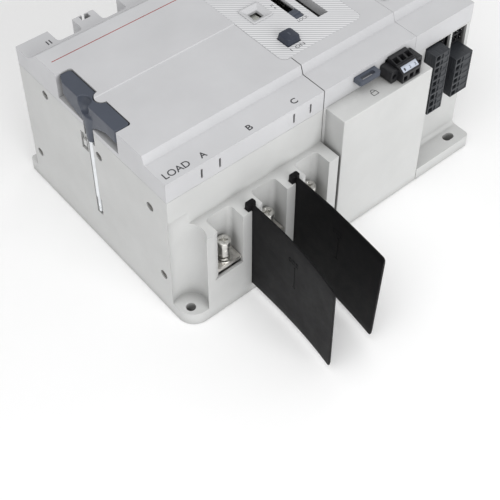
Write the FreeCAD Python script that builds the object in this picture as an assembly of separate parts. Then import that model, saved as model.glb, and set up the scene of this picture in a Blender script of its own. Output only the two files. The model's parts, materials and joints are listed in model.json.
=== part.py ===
"""Three-pole motorised automatic transfer switch, 250 A frame, on its back with its front face up.

The lengths are laid out from one corner of the mounting plane: +Z leaves the front face, X runs
from the handle side (X = 0) to the connector side, the load terminals are at Y = 0 and the two
stacked rows of source terminals are at the far Y end. Every piece is then moved so that the
part's own origin is the centre of its four fixing holes. All lengths are in millimetres.
"""
import FreeCAD, Part
import math
import os

V = FreeCAD.Vector

# ---------------------------------------------------------------- driving dimensions
POLE_PITCH = 50.0
POLES = 3
FIRST_POLE_X = 47.5
SWITCH_W = 173.0            # contact module, along X
DRIVE_W = 114.5             # drive module, along X
CONTROL_W = 78.5            # control module, along X
CONTROL_X0 = SWITCH_W + DRIVE_W
DEPTH = 249.0               # housings, along Y
FACE_Y = 24.0               # set-back of the upper front faces
TERMINAL_TOP = 110.0        # top of the load terminal block
SPLIT_Z = 150.0             # parting plane between housings and covers
LEDGE_Z = 172.0             # cover ledge beside the raised field
COVER_Z = 181.0             # top of the raised field
SOURCE_TOP = 170.0          # top of the source terminal walls
FIELD_Y0 = 55.0             # raised field, front edge
FIELD_Y1 = 215.0            # raised field, back edge
FIELD_SLOPE = 3.0           # run of the slope up to the field at the front
BACK_SLOPE = 13.0           # run of the slope down to the source walls
STEP_Y = 135.0              # low step across the switch cover
STEP_H = 1.0
FLOOR = 6.0                 # moulding floors
SKIN = 3.0                  # moulding walls and cover skins
SEAM = 0.2                  # gap between two mouldings
MODULE_GAP = 1.0            # gap between the contact module and the drive module
RUN_FIT = 0.1               # radial running fit of journals
FREE = 0.3                  # clearance beside sliding and swinging pieces

FOOT_H = 14.3
FOOT_REACH = 15.0           # rear feet, beyond the housings
FOOT_W = 24.0
HOLE_R = 4.5                # mounting holes and slots
HOLE_X = 10.0               # left pair, from the handle side
SLOT_X = CONTROL_X0 + 59.0              # right pair
SLOT_LEN = 13.0
HOLE_Y0 = 12.0
HOLE_Y1 = 256.0
CORNER_R = 16.3             # half-round channel above the front left foot

POCKET_W = 27.0             # terminal pockets
POCKET_DEPTH = 18.5
POCKET_R = 4.5              # rounded inner corners of the pockets
BAR_W = 26.0
BAR_T = 4.0
BAR_Z = 57.0                # top of the load and lower source bars
UPPER_BAR_Z = 116.0         # top of the upper source bars
CAVITY_W = 40.0             # pole chambers
CAVITY_Y0 = 30.0
CAVITY_Y1 = 218.0
LOWER_POCKET_Z0 = 8.0
LOAD_WALL = 3.0             # wall that closes the front below the load bars
LOAD_WALL_TOP = 49.0
NUT_WELL_Z0 = 22.0          # room for the nut and the screw end behind that wall
MOUTH_CHAMFER_X = 5.0       # chamfer on the left side of each load pocket
MOUTH_CHAMFER_Y = 1.8
SCREW_R = 3.9               # M8 terminal screws
SCREW_HEAD_R = 6.5
NUT_AF = 13.0
SCREW_HEAD_H = 5.5
SCREW_LEN = 35.0
SCREW_COLLAR_R = 5.7        # collar between the head and the washers
SCREW_COLLAR_Z = 5.8        # underside of the collar above the bar
SCREW_LIFT = 24.0           # top of head above the bar
SCREW_INSET = 10.5          # screw axis from the terminal face
WASHER_R = 8.0
WASHER_T = 1.6
SPRING_WASHER_R = 6.6
SPRING_WASHER_T = 2.0
NUT_H = 6.5

AXIS_Y = 135.5              # contact shaft
AXIS_Z = 92.0
SWING = 24.0                # rotor travel each way from O
BLADE_R = 48.0
BLADE_HALF = 6.0
BLADE_T = 3.0
FINGER_R0 = 34.0
FINGER_R1 = 58.0
FINGER_HALF = 5.0
SHAFT_R = 14.0
JOURNAL_R = 9.0
DRIVE_SHAFT_R = 7.0
GEAR_M = 1.5
GEAR_TEETH = 60
PINION_TEETH = 12
GEAR_T = 8.0
GEAR_X = SWITCH_W + 77.0
BACKLASH = 0.25             # per flank
MOTOR_R = 18.0
MOTOR_L = 56.0

SIDE_SCREWS = ((207.0, 140.0), (238.0, 42.0), (124.0, 126.0), (49.0, 125.0), (36.0, 46.0))
SIDE_SCREW_R = 1.9          # screws of the handle-side end, as (y, z) above
SIDE_SCREW_LEN = 18.0
LEFT_VOID = 4.5             # wall outside the hollow end of the housing
BOSS_R = 5.0

BARRIER_T = 2.5
BARRIER_REACH = 111.0
BARRIER_Z0 = 10.0
BARRIER_Z1 = 117.0
BARRIER_BOW = (9.0, 5.0)    # sideways bow of each flexible barrier at its outer end
BEAD_W = 9.0
BEAD_Y0 = 1.5
BEAD_Y1 = 7.0
BEAD_Z0 = 60.0              # the load-side beads start above the bars

FASCIA_X0 = SWITCH_W - 8.5
FASCIA_X1 = SWITCH_W + 89.0
FASCIA_HALF_Y = 66.5
FASCIA_T = 0.6
WINDOW_X = SWITCH_W + 16.0
WINDOW_W = 22.0
WINDOW_IN = 10.5
FLAG_R = 80.0
BUTTON_X = SWITCH_W + 15.0
BUTTON_OFFSET_Y = 47.3      # buttons I and II, either side of the shaft axis
BUTTON_W = 15.6
BUTTON_TOP_W = 13.4
BUTTON_H = 7.0
BUTTON_TRAVEL = 3.0
BUTTON_POST_Z = 168.5
BOARD_Z = 161.6              # button boards
BOARD_T = 1.6
TOP_BOARD_Z = 162.0         # board under the control cover
LOCK_X = SWITCH_W + 44.5
LOCK_W = 10.0
LOCK_Y0 = 105.0
LOCK_HEAD = 12.5
LOCK_TRAVEL = 32.0
LEVER_SLOT_X = SWITCH_W + 63.0
LEVER_SLOT_W = 12.0
LEVER_SLOT_HALF = 40.8
LEVER_R = 76.0

PADLOCK_X0 = SWITCH_W + 35.7
PADLOCK_X1 = SWITCH_W + 61.1
PADLOCK_Z = 161.8
PADLOCK_T = 5.0
PADLOCK_TRAVEL = 12.0
PADLOCK_END = 58.0
PADLOCK_EAR = 5.0
PLUG_X = SWITCH_W + 88.25
PLUG_PITCH = 7.62
PLUG_POLES = 3
SOCKET_WALL = 1.5
SIGNAL_FACE_Y = 11.0
HEADER_Y0 = 31.0
BOARD_Y = 42.0              # upright board behind the connector stacks
SIGNAL_LEFT = (CONTROL_X0 + 16.7, CONTROL_X0 + 36.3)
SIGNAL_RIGHT = (CONTROL_X0 + 48.8, CONTROL_X0 + 72.2)
DIVIDER_X = CONTROL_X0 + 53.1           # right side of the bar between the two stack openings
SIGNAL_LEFT_Z = (71.5, 88.5, 106.0, 123.0, 146.5)
SIGNAL_RIGHT_Z = (76.0, 108.0, 125.0)
DIAL_R = 5.8
DIAL_X = CONTROL_X0 + 10.4
DIAL_Y = 78.5

GRIP_Y0 = 91.2
GRIP_Y1 = 180.0
GRIP_W = 15.0
GRIP_CLEAR = 0.9
ROD_X = 2.2
ROD_R = 3.0
ROD_TIP_R = 2.3
ROD_Z0 = 43.0
ROD_TIP_Z = 64.0
NECK_HALF = 6.4
NECK_X0 = -2.2
NECK_X1 = 8.6
NECK_Z = 137.0
HANDLE_POCKET_Z = 155.5
BOSS_WAIST_R = 6.8          # half-round boss of the cover that the grip notch clears

DRIVE_X0 = SWITCH_W
DRIVE_X1 = CONTROL_X0
BODY_X1 = DRIVE_X1 + CONTROL_W
SOURCE_Y = DEPTH - POCKET_DEPTH
POLE_X = [FIRST_POLE_X + POLE_PITCH * i for i in range(POLES)]
POLE_NAMES = "abc"
GEAR_R = GEAR_M * GEAR_TEETH / 2
PINION_R = GEAR_M * PINION_TEETH / 2
PINION_Y = AXIS_Y + GEAR_R + PINION_R + 0.1
ORIGIN = V((HOLE_X + SLOT_X) / 2, (HOLE_Y0 + HOLE_Y1) / 2, 0)


# ---------------------------------------------------------------- shape helpers
def box(x0, x1, y0, y1, z0, z1):
    return Part.makeBox(x1 - x0, y1 - y0, z1 - z0, V(x0, y0, z0))


def cyl(radius, start, length, axis="Z"):
    direction = {"X": V(1, 0, 0), "Y": V(0, 1, 0), "Z": V(0, 0, 1)}[axis]
    return Part.makeCylinder(radius, length, V(*start), direction)


def polygon_face(points):
    return Part.Face(Part.makePolygon([V(*p) for p in points + points[:1]]))


def extrude_x(points, x0, x1):
    """A prism along X from a (y, z) outline."""
    return polygon_face([(x0, y, z) for y, z in points]).extrude(V(x1 - x0, 0, 0))


def extrude_z(points, z0, z1):
    """A prism along Z from an (x, y) outline."""
    return polygon_face([(x, y, z0) for x, y in points]).extrude(V(0, 0, z1 - z0))


def rounded_box(x0, x1, y0, y1, z0, z1, radius):
    """A box with its four vertical edges rounded."""
    solid = box(x0, x1, y0, y1, z0, z1)
    upright = [e for e in solid.Edges if abs(e.tangentAt(e.FirstParameter).z) > 0.9]
    return solid.makeFillet(radius, upright)


def hexagon(across_flats, x, y, z0, z1):
    r = across_flats / math.sqrt(3)
    corners = [(x + r * math.cos(math.pi / 3 * i), y + r * math.sin(math.pi / 3 * i)) for i in range(6)]
    return extrude_z(corners, z0, z1)


def join(shapes):
    first = shapes[0]
    return first.fuse(shapes[1:]).removeSplitter() if len(shapes) > 1 else first


def group(shapes):
    """Separate solids that share one node."""
    return Part.makeCompound(shapes)


def turned(shape, angle):
    """The shape turned about the contact shaft: positive lifts the source side."""
    copy = shape.copy()
    copy.rotate(V(0, AXIS_Y, AXIS_Z), V(1, 0, 0), angle)
    return copy


def tube_x(outer, inner, x0, x1, y=AXIS_Y, z=AXIS_Z):
    return cyl(outer, (x0, y, z), x1 - x0, "X").cut(cyl(inner, (x0, y, z), x1 - x0, "X"))


def cradle(radius, x0, x1):
    """The cutter of a shaft seat that is open towards +Z."""
    seat = cyl(radius, (x0, AXIS_Y, AXIS_Z), x1 - x0, "X")
    return seat.fuse(box(x0, x1, AXIS_Y - radius, AXIS_Y + radius, AXIS_Z, SPLIT_Z + 1))


# ---------------------------------------------------------------- feet and terminal cuts
def mounting_hole(x, y):
    return cyl(HOLE_R, (x, y, -1), FOOT_H + 2)


def mounting_slot(x, y):
    half = SLOT_LEN / 2 - HOLE_R
    ends = [cyl(HOLE_R, (x + s * half, y, -1), FOOT_H + 2) for s in (-1, 1)]
    return join(ends + [box(x - half, x + half, y - HOLE_R, y + HOLE_R, -1, FOOT_H + 1)])


def rear_foot(x0, x1):
    return rounded_box(x0, x1, DEPTH - 10, DEPTH + FOOT_REACH, 0, FOOT_H, 4)


def barrier_slot(x, inward, z0, bead_z0, z1):
    """A T-shaped slot in a wall end. inward is +1 at the load side and -1 at the source side."""
    face = 0 if inward > 0 else DEPTH
    neck_half = BARRIER_T / 2 + FREE
    neck = sorted((face - inward, face + inward * (BEAD_Y0 + 1 + FREE)))
    bead = sorted((face + inward * (BEAD_Y0 - FREE), face + inward * (BEAD_Y1 + FREE)))
    slot = box(x - neck_half, x + neck_half, neck[0], neck[1], z0, z1)
    return slot.fuse(box(x - BEAD_W / 2 - FREE, x + BEAD_W / 2 + FREE, bead[0], bead[1], bead_z0, z1))


def wall_xs():
    return [x + POLE_PITCH / 2 for x in POLE_X[:-1]]


def load_pockets():
    cuts = []
    for x in POLE_X:
        half = POCKET_W / 2
        cuts.append(rounded_box(x - half, x + half, -9, POCKET_DEPTH, BAR_Z, TERMINAL_TOP + 1, POCKET_R))
        cuts.append(box(x - half, x + half, -1, POCKET_DEPTH, BAR_Z - BAR_T, BAR_Z))
        cuts.append(box(x - half, x + half, LOAD_WALL, CAVITY_Y0 - 4, NUT_WELL_Z0, BAR_Z - BAR_T))
        cuts.append(box(x - half, x + half, -1, LOAD_WALL, LOAD_WALL_TOP, BAR_Z - BAR_T))
        left = x - half
        run = MOUTH_CHAMFER_X / MOUTH_CHAMFER_Y
        mouth = [(left + 1, -1), (left - MOUTH_CHAMFER_X - run, -1), (left, MOUTH_CHAMFER_Y),
                 (left + 1, MOUTH_CHAMFER_Y)]
        cuts.append(extrude_z(mouth, LOAD_WALL_TOP, TERMINAL_TOP + 1))
    for x in wall_xs():
        cuts.append(barrier_slot(x, 1, BARRIER_Z0 - FREE, BEAD_Z0 - FREE, TERMINAL_TOP + 1))
    return cuts


def source_pockets():
    cuts = []
    for x in POLE_X:
        half = POCKET_W / 2
        cuts.append(box(x - half, x + half, SOURCE_Y, DEPTH + 1, UPPER_BAR_Z - BAR_T, UPPER_BAR_Z))
        cuts.append(rounded_box(x - half, x + half, SOURCE_Y, DEPTH + 9, UPPER_BAR_Z, SPLIT_Z + 1, POCKET_R))
        cuts.append(box(x - half, x + half, SOURCE_Y, DEPTH + 1, BAR_Z - BAR_T, UPPER_BAR_Z - 12))
        cuts.append(box(x - half, x + half, SOURCE_Y, DEPTH + 1, LOWER_POCKET_Z0, BAR_Z - BAR_T))
        cuts.append(hexagon(NUT_AF, x, DEPTH - SCREW_INSET, UPPER_BAR_Z - 13, UPPER_BAR_Z))
    for x in wall_xs():
        cuts.append(barrier_slot(x, -1, BARRIER_Z0, BARRIER_Z0, SPLIT_Z + 1))
    return cuts


def bar_passages():
    """Where the bars run through the chamber walls."""
    cuts = []
    for x in POLE_X:
        half = BAR_W / 2
        cuts.append(box(x - half, x + half, POCKET_DEPTH - 1, CAVITY_Y0 + 1, BAR_Z - BAR_T, BAR_Z))
        for top in (BAR_Z, UPPER_BAR_Z):
            cuts.append(box(x - half, x + half, CAVITY_Y1 - 1, SOURCE_Y + 1, top - BAR_T, top))
    return cuts


# ---------------------------------------------------------------- contact module
def handle_groove():
    """The channel of the stowed rod in the side face, with the deeper seat of its tip."""
    width = ROD_R + 0.6
    groove = box(-1, ROD_X + ROD_R + 0.6, AXIS_Y - width, AXIS_Y + width, ROD_Z0 - 1.5, LEDGE_Z)
    tip = box(-1, 8, AXIS_Y - width - 2.0, AXIS_Y - width + 0.1, ROD_Z0, ROD_TIP_Z)
    neck = box(-1, NECK_X1 + 1, AXIS_Y - NECK_HALF - 1, AXIS_Y + NECK_HALF + 1, NECK_Z - 1.5, LEDGE_Z)
    return [groove, tip, neck]


def left_end_voids():
    """Hollows of the thick handle-side wall, with bosses left round the side screws."""
    voids = box(LEFT_VOID, 22, 34, AXIS_Y - 16, FLOOR, SPLIT_Z + 1)
    voids = voids.fuse(box(LEFT_VOID, 22, AXIS_Y + 16, CAVITY_Y1, FLOOR, SPLIT_Z + 1))
    bosses = [cyl(BOSS_R, (LEFT_VOID - 1, y, z), 19, "X") for y, z in SIDE_SCREWS]
    return voids.cut(bosses)


def switch_housing():
    right = SWITCH_W - MODULE_GAP / 2
    body = box(0, right, 0, DEPTH, 0, TERMINAL_TOP)
    body = body.fuse(box(0, right, FACE_Y, DEPTH, TERMINAL_TOP - 1, SPLIT_Z))
    body = body.cut(cyl(CORNER_R, (HOLE_X, HOLE_Y0, FOOT_H), TERMINAL_TOP))
    corner = box(-1, 17.5, -1, 17.5, -1, FOOT_H).cut(cyl(17.5, (17.5, 17.5, -2), FOOT_H + 3))
    body = body.cut(corner).fuse(rear_foot(0, FOOT_W))
    cuts = [mounting_hole(HOLE_X, HOLE_Y0), mounting_hole(HOLE_X, HOLE_Y1)]
    for x in POLE_X:
        half = CAVITY_W / 2
        cuts.append(box(x - half, x + half, CAVITY_Y0, CAVITY_Y1, FLOOR, SPLIT_Z + 1))
    cuts += load_pockets() + source_pockets() + bar_passages() + handle_groove()
    cuts += [left_end_voids(), cradle(SHAFT_R + FREE, POLE_X[0], POLE_X[-1])]
    cuts.append(cradle(JOURNAL_R + RUN_FIT, POLE_X[0] - CAVITY_W / 2 - 5, SWITCH_W + 1))
    for y, z in SIDE_SCREWS:
        cuts.append(cyl(4.6, (-1, y, z), 3.0, "X"))
        cuts.append(cyl(SIDE_SCREW_R, (0, y, z), SIDE_SCREW_LEN, "X"))
    cuts.append(snap_pocket())
    return body.cut(cuts)


def snap_pocket():
    """The framed pocket beside the stowed rod."""
    y0 = AXIS_Y + ROD_R + 2
    pocket = box(-1, 2.5, y0, y0 + 10, 118, 139)
    return pocket.cut(box(-1, 3, y0 + 1.5, y0 + 6.5, 123.5, 131))


def side_screws():
    screws = []
    for y, z in SIDE_SCREWS:
        head = cyl(3.8, (0.4, y, z), 1.6, "X").cut(box(0, 1.0, y - 3, y + 3, z - 0.5, z + 0.5))
        head = head.cut(box(0, 1.0, y - 0.5, y + 0.5, z - 3, z + 3))
        screws.append(head.fuse(cyl(SIDE_SCREW_R, (2.0, y, z), SIDE_SCREW_LEN - 2, "X")))
    return group(screws)


def cover_profile(front):
    """The (y, z) outline that all three covers share."""
    return [(front, SPLIT_Z + SEAM), (front, LEDGE_Z), (FIELD_Y0 - FIELD_SLOPE, LEDGE_Z),
            (FIELD_Y0, COVER_Z), (FIELD_Y1, COVER_Z), (FIELD_Y1 + BACK_SLOPE, SOURCE_TOP),
            (DEPTH, SOURCE_TOP), (DEPTH, SPLIT_Z + SEAM)]


def cover_hollow(x0, x1, y1):
    """The two-level hollow under a cover: below the ledges, and up under the raised field."""
    return [box(x0, x1, FACE_Y + SKIN, y1, SPLIT_Z - 1, SOURCE_TOP - SKIN),
            box(x0, x1, FIELD_Y0 + SKIN, FIELD_Y1 - 1, SOURCE_TOP - SKIN - 1, COVER_Z - SKIN)]


def tongue(clear):
    """Where the drive cover laps over the contact module."""
    half = FASCIA_HALF_Y + 0.8 + clear
    return rounded_box(FASCIA_X0 - 0.5 - clear, DRIVE_X0 + 12, AXIS_Y - half, AXIS_Y + half,
                       LEDGE_Z + SEAM - clear, COVER_Z + 5, 7.5)


def handle_pocket():
    pocket = rounded_box(-8, GRIP_W + GRIP_CLEAR, GRIP_Y0 - GRIP_CLEAR, GRIP_Y1 + GRIP_CLEAR,
                         HANDLE_POCKET_Z, COVER_Z + 3, 3)
    boss = cyl(BOSS_WAIST_R, (GRIP_W + GRIP_CLEAR, AXIS_Y - 2, HANDLE_POCKET_Z - 1), 30)
    return pocket.cut(boss)


def switch_cover():
    right = SWITCH_W - MODULE_GAP / 2
    body = extrude_x(cover_profile(FACE_Y), 0, right)
    step = [(STEP_Y, COVER_Z - 1), (STEP_Y + 1, COVER_Z + STEP_H),
            (FIELD_Y1 - 1.2, COVER_Z + STEP_H), (FIELD_Y1, COVER_Z - 1)]
    body = body.fuse(extrude_x(step, 0, right))
    cuts = cover_hollow(25, right - SKIN, SOURCE_Y - SKIN)
    cuts.append(box(LEFT_VOID, 22, 34, GRIP_Y0 - 4, SPLIT_Z - 1, LEDGE_Z - SKIN))
    cuts.append(handle_pocket())
    cuts += handle_groove()
    cuts.append(tongue(SEAM))
    for x in POLE_X:
        half = POCKET_W / 2
        cuts.append(rounded_box(x - half, x + half, SOURCE_Y, DEPTH + 9, SPLIT_Z - 1, 200, POCKET_R))
    for x in wall_xs():
        cuts.append(barrier_slot(x, -1, SPLIT_Z - 1, SPLIT_Z - 1, SOURCE_TOP + 1))
    for x in (37.0, 56.2, 138.0, 157.2):
        cuts.append(box(x - 1, x + 1, FACE_Y - 1, FACE_Y + SKIN + 1, 155.5, 166))
    body = body.cut(cuts)
    return body.cut(box(SWITCH_W - SKIN - 1, SWITCH_W, 0, DEPTH, COVER_Z, COVER_Z + 5))


def bearing_caps():
    """Blocks that close the two journal seats."""
    caps = []
    left = POLE_X[0] - CAVITY_W / 2 - 5
    for x0, x1 in ((left, left + 5), (POLE_X[-1] + CAVITY_W / 2, SWITCH_W - MODULE_GAP / 2)):
        block = box(x0, x1, AXIS_Y - JOURNAL_R, AXIS_Y + JOURNAL_R, AXIS_Z + 2, SPLIT_Z)
        caps.append(block.cut(cyl(JOURNAL_R + RUN_FIT, (x0, AXIS_Y, AXIS_Z), x1 - x0, "X")))
    return group(caps)


# ---------------------------------------------------------------- contacts and bars
def finger(x, side, angle):
    """A fixed contact finger: side is -1 for load and +1 for source."""
    half_t = BAR_T / 2
    reach = sorted((side * FINGER_R0, side * FINGER_R1))
    bar = box(x - half_t, x + half_t, AXIS_Y + reach[0], AXIS_Y + reach[1],
              AXIS_Z - FINGER_HALF, AXIS_Z + FINGER_HALF)
    return turned(bar, angle)


def screw_hole(x, y, top):
    return cyl(SCREW_R + 0.4, (x, y, top - BAR_T - 1), BAR_T + 2)


def load_bar(x):
    half = BAR_W / 2
    riser_y = AXIS_Y - FINGER_R1 + 1.5
    plate = box(x - half, x + half, 2.5, riser_y + 8, BAR_Z - BAR_T, BAR_Z)
    riser = box(x - BAR_T / 2, x + BAR_T / 2, riser_y - 3, riser_y + 7.5, BAR_Z - 1, AXIS_Z + 28)
    bar = join([plate, riser, finger(x, -1, SWING), finger(x, -1, -SWING)])
    return bar.cut(screw_hole(x, SCREW_INSET, BAR_Z))


def source_bar(x, top, angle):
    half = BAR_W / 2
    riser_y = AXIS_Y + FINGER_R1 - 8
    end_z = AXIS_Z + FINGER_R1 * math.sin(math.radians(angle))
    plate = box(x - half, x + half, riser_y, DEPTH - 2.5, top - BAR_T, top)
    low, high = sorted((top - BAR_T / 2, end_z))
    riser = box(x - BAR_T / 2, x + BAR_T / 2, riser_y, riser_y + 9, low - 1, high + 2)
    bar = join([plate, riser, finger(x, 1, angle)])
    return bar.cut(screw_hole(x, DEPTH - SCREW_INSET, top))


def moving_contact(x):
    blades = []
    for side in (-1, 1):
        inner = BAR_T / 2 + FREE
        near, far = sorted((x + side * inner, x + side * (inner + BLADE_T)))
        blade = box(near, far, AXIS_Y - BLADE_R, AXIS_Y + BLADE_R, AXIS_Z - BLADE_HALF, AXIS_Z + BLADE_HALF)
        round_end = cyl(BLADE_R, (near, AXIS_Y, AXIS_Z), far - near, "X")
        blades.append(blade.common(round_end).cut(cyl(3, (near, AXIS_Y, AXIS_Z), far - near, "X")))
    return group(blades)


def contact_shaft():
    left = POLE_X[0] - CAVITY_W / 2 - 4.5
    body = cyl(SHAFT_R, (left + 5, AXIS_Y, AXIS_Z), POLE_X[-1] + CAVITY_W / 2 - left - 5.3, "X")
    body = body.fuse(cyl(JOURNAL_R, (left, AXIS_Y, AXIS_Z), SWITCH_W - 0.5 - left, "X"))
    cuts = [cyl(DRIVE_SHAFT_R, (SWITCH_W - 18, AXIS_Y, AXIS_Z), 20, "X")]
    for x in POLE_X:
        cuts += moving_contact(x).Solids
    return body.cut(cuts)


def arc_chute(x):
    """Splitter plates between two fibre cheeks, at the source side of a pole."""
    half = CAVITY_W / 2 - 3
    y0 = AXIS_Y + BLADE_R + 3
    plates = []
    for angle in (-13, -6.5, 0, 6.5, 13):
        plate = box(x - half + 1.5, x + half - 1.5, y0, y0 + 15, AXIS_Z - 0.6, AXIS_Z + 0.6)
        notch = box(x - 4, x + 4, y0 - 1, y0 + 6, AXIS_Z - 1, AXIS_Z + 1)
        plates.append(turned(plate.cut(notch), angle))
    cheeks = [box(x + s * half - 0.75 + s * 0.75 - 0.75, x + s * half + s * 0.75, y0 - 2, y0 + 17,
                  AXIS_Z - 19, AXIS_Z + 19) for s in (-1, 1)]
    return group(plates + cheeks)


# ---------------------------------------------------------------- terminal hardware
def screw_places():
    """The (x, y, bar top) of every terminal screw: load first, then both source rows."""
    load = [(x, SCREW_INSET, BAR_Z) for x in POLE_X]
    lower = [(x, DEPTH - SCREW_INSET, BAR_Z) for x in POLE_X]
    upper = [(x, DEPTH - SCREW_INSET, UPPER_BAR_Z) for x in POLE_X]
    return load + lower + upper


def terminal_screw(x, y, top):
    head_top = top + SCREW_LIFT
    head = cyl(SCREW_HEAD_R, (x, y, head_top - SCREW_HEAD_H), SCREW_HEAD_H)
    for sx, sy in ((4.2, 0.7), (0.7, 4.2)):
        head = head.cut(box(x - sx, x + sx, y - sy, y + sy, head_top - 2.2, head_top + 1))
    collar_z = top + SCREW_COLLAR_Z
    collar = cyl(SCREW_COLLAR_R, (x, y, collar_z), head_top - SCREW_HEAD_H - collar_z)
    shank = cyl(SCREW_R, (x, y, head_top - SCREW_HEAD_H - SCREW_LEN + 5), SCREW_LEN - 5)
    return head.fuse(collar).fuse(shank)


def ring(x, y, z0, thickness, outer, inner):
    return cyl(outer, (x, y, z0), thickness).cut(cyl(inner, (x, y, z0), thickness))


def flat_washers(places):
    return group([ring(x, y, top, WASHER_T, WASHER_R, SCREW_R + 0.3) for x, y, top in places])


def spring_washers(places):
    washers = []
    for x, y, top in places:
        washer = ring(x, y, top + WASHER_T, SPRING_WASHER_T, SPRING_WASHER_R, SCREW_R + 0.2)
        washers.append(washer.cut(box(x, x + 8, y - 0.5, y + 0.5, top, top + 8)))
    return group(washers)


def captive_nuts(places):
    nuts = []
    for x, y, top in places:
        z0 = top - BAR_T - NUT_H
        nut = hexagon(NUT_AF - 0.4, x, y, z0, z0 + NUT_H)
        nuts.append(nut.cut(cyl(SCREW_R, (x, y, z0), NUT_H)))
    return group(nuts)


# ---------------------------------------------------------------- phase barriers
def phase_barrier(x, bow):
    """A flexible sheet with a T bead, bowed towards the handle side at its outer end."""
    radius = (BARRIER_REACH ** 2 + bow ** 2) / (2 * bow)
    half_t = BARRIER_T / 2
    ring_face = cyl(radius + half_t, (x - radius, 0, BARRIER_Z0), BARRIER_Z1 - BARRIER_Z0)
    ring_face = ring_face.cut(cyl(radius - half_t, (x - radius, 0, 0), 200))
    sheet = ring_face.common(box(x - 30, x + 5, -BARRIER_REACH, 0, 0, 200))
    outer_cut = extrude_x([(-BARRIER_REACH - 1, BARRIER_Z1 + 1), (-BARRIER_REACH - 1, BARRIER_Z1 - 6),
                           (-BARRIER_REACH + 3, BARRIER_Z1 - 4), (-45, BARRIER_Z1), (-45, BARRIER_Z1 + 1)],
                          x - 40, x + 20)
    neck = box(x - half_t, x + half_t, 0, BEAD_Y0 + 1, BARRIER_Z0, BARRIER_Z1)
    bead = rounded_box(x - BEAD_W / 2, x + BEAD_W / 2, BEAD_Y0, BEAD_Y1, BEAD_Z0, BARRIER_Z1, 1.2)
    return join([sheet.cut(outer_cut), neck, bead])


# ---------------------------------------------------------------- drive module
def drive_housing():
    x0 = DRIVE_X0 + MODULE_GAP / 2
    x1 = DRIVE_X1 - SEAM / 2
    body = box(x0, x1, FACE_Y, DEPTH, 0, SPLIT_Z)
    body = body.fuse(box(x0 + 2.4, x1, 0, FACE_Y + 1, 0, SPLIT_Z))
    cuts = [box(x0 + SKIN, x1 - SKIN, FACE_Y + 4, DEPTH - SKIN, FLOOR, SPLIT_Z + 1)]
    cuts.append(box(x0 + 2.4 + SKIN, x1 - SKIN, SKIN, FACE_Y - 4, FLOOR, SPLIT_Z - SKIN))
    cuts.append(cyl(JOURNAL_R, (x0 - 1, AXIS_Y, AXIS_Z), SKIN + 2, "X"))
    body = body.cut(cuts)
    pad = box(x0 + 20, x0 + 60, AXIS_Y - 20, AXIS_Y + 20, FLOOR - 1, FLOOR + 4)
    return body.fuse([pad, gear_plate_rail()])


def gear_plate_rail():
    return box(GEAR_X - 8, GEAR_X + 2, AXIS_Y - 45, PINION_Y + 30, FLOOR - 1, FLOOR + 8).cut(
        box(GEAR_X - 4, GEAR_X - 1.5, AXIS_Y - 46, PINION_Y + 31, FLOOR + 2, FLOOR + 9))


def gear_plate():
    plate = box(GEAR_X - 4, GEAR_X - 1.5, AXIS_Y - 44, PINION_Y + 29, FLOOR + 2, SPLIT_Z - 4)
    holes = [cyl(DRIVE_SHAFT_R + RUN_FIT, (GEAR_X - 6, AXIS_Y, AXIS_Z), 8, "X"),
             cyl(5.5, (GEAR_X - 6, PINION_Y, AXIS_Z), 8, "X")]
    return plate.cut(holes)


def drive_motor():
    x1 = GEAR_X - 4
    can = cyl(MOTOR_R, (x1 - MOTOR_L, PINION_Y, AXIS_Z), MOTOR_L, "X")
    boss = cyl(5.4, (x1, PINION_Y, AXIS_Z), 2.5, "X")
    tail = cyl(6, (x1 - MOTOR_L - 4, PINION_Y, AXIS_Z), 4, "X")
    body = join([can, boss, tail])
    return body.cut(cyl(2.6, (x1 - 20, PINION_Y, AXIS_Z), 30, "X"))


def toothed_disc(teeth, x0, width, y, z, start_angle):
    """A straight-flank spur gear about an axis along X."""
    root = GEAR_M * (teeth / 2 - 1.25)
    tip = GEAR_M * (teeth / 2 + 0.9)
    pitch = GEAR_M * teeth / 2
    half_pitch = math.pi * GEAR_M / 4 - BACKLASH
    slope = math.tan(math.radians(20))
    disc = cyl(root + 0.01, (x0, y, z), width, "X")
    teeth_solids = []
    for i in range(teeth):
        a = math.radians(start_angle) + 2 * math.pi * i / teeth
        outline = []
        for r, s in ((root - 0.5, -1), (tip, -1), (tip, 1), (root - 0.5, 1)):
            half = half_pitch + (pitch - r) * slope
            cy = y + r * math.cos(a) - s * half * math.sin(a)
            cz = z + r * math.sin(a) + s * half * math.cos(a)
            outline.append((cy, cz))
        teeth_solids.append(extrude_x(outline, x0, x0 + width))
    return disc.fuse(teeth_solids).removeSplitter()


def drive_gear():
    gear = toothed_disc(GEAR_TEETH, GEAR_X, GEAR_T, AXIS_Y, AXIS_Z, 0)
    holes = [cyl(DRIVE_SHAFT_R, (GEAR_X - 1, AXIS_Y, AXIS_Z), GEAR_T + 2, "X")]
    for i in range(5):
        a = 2 * math.pi * (i + 0.5) / 5
        centre = (GEAR_X - 1, AXIS_Y + 26 * math.cos(a), AXIS_Z + 26 * math.sin(a))
        holes.append(cyl(8, centre, GEAR_T + 2, "X"))
    return gear.cut(holes)


def motor_pinion():
    half_tooth = 180.0 / PINION_TEETH
    pinion = toothed_disc(PINION_TEETH, GEAR_X, GEAR_T, PINION_Y, AXIS_Z, half_tooth)
    shaft = cyl(2.5, (GEAR_X - 22, PINION_Y, AXIS_Z), 22 + GEAR_T + 2, "X")
    return pinion.fuse(shaft)


def drive_shaft():
    return cyl(DRIVE_SHAFT_R, (SWITCH_W - 18, AXIS_Y, AXIS_Z), GEAR_X + GEAR_T + 20 - SWITCH_W + 18, "X")


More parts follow.
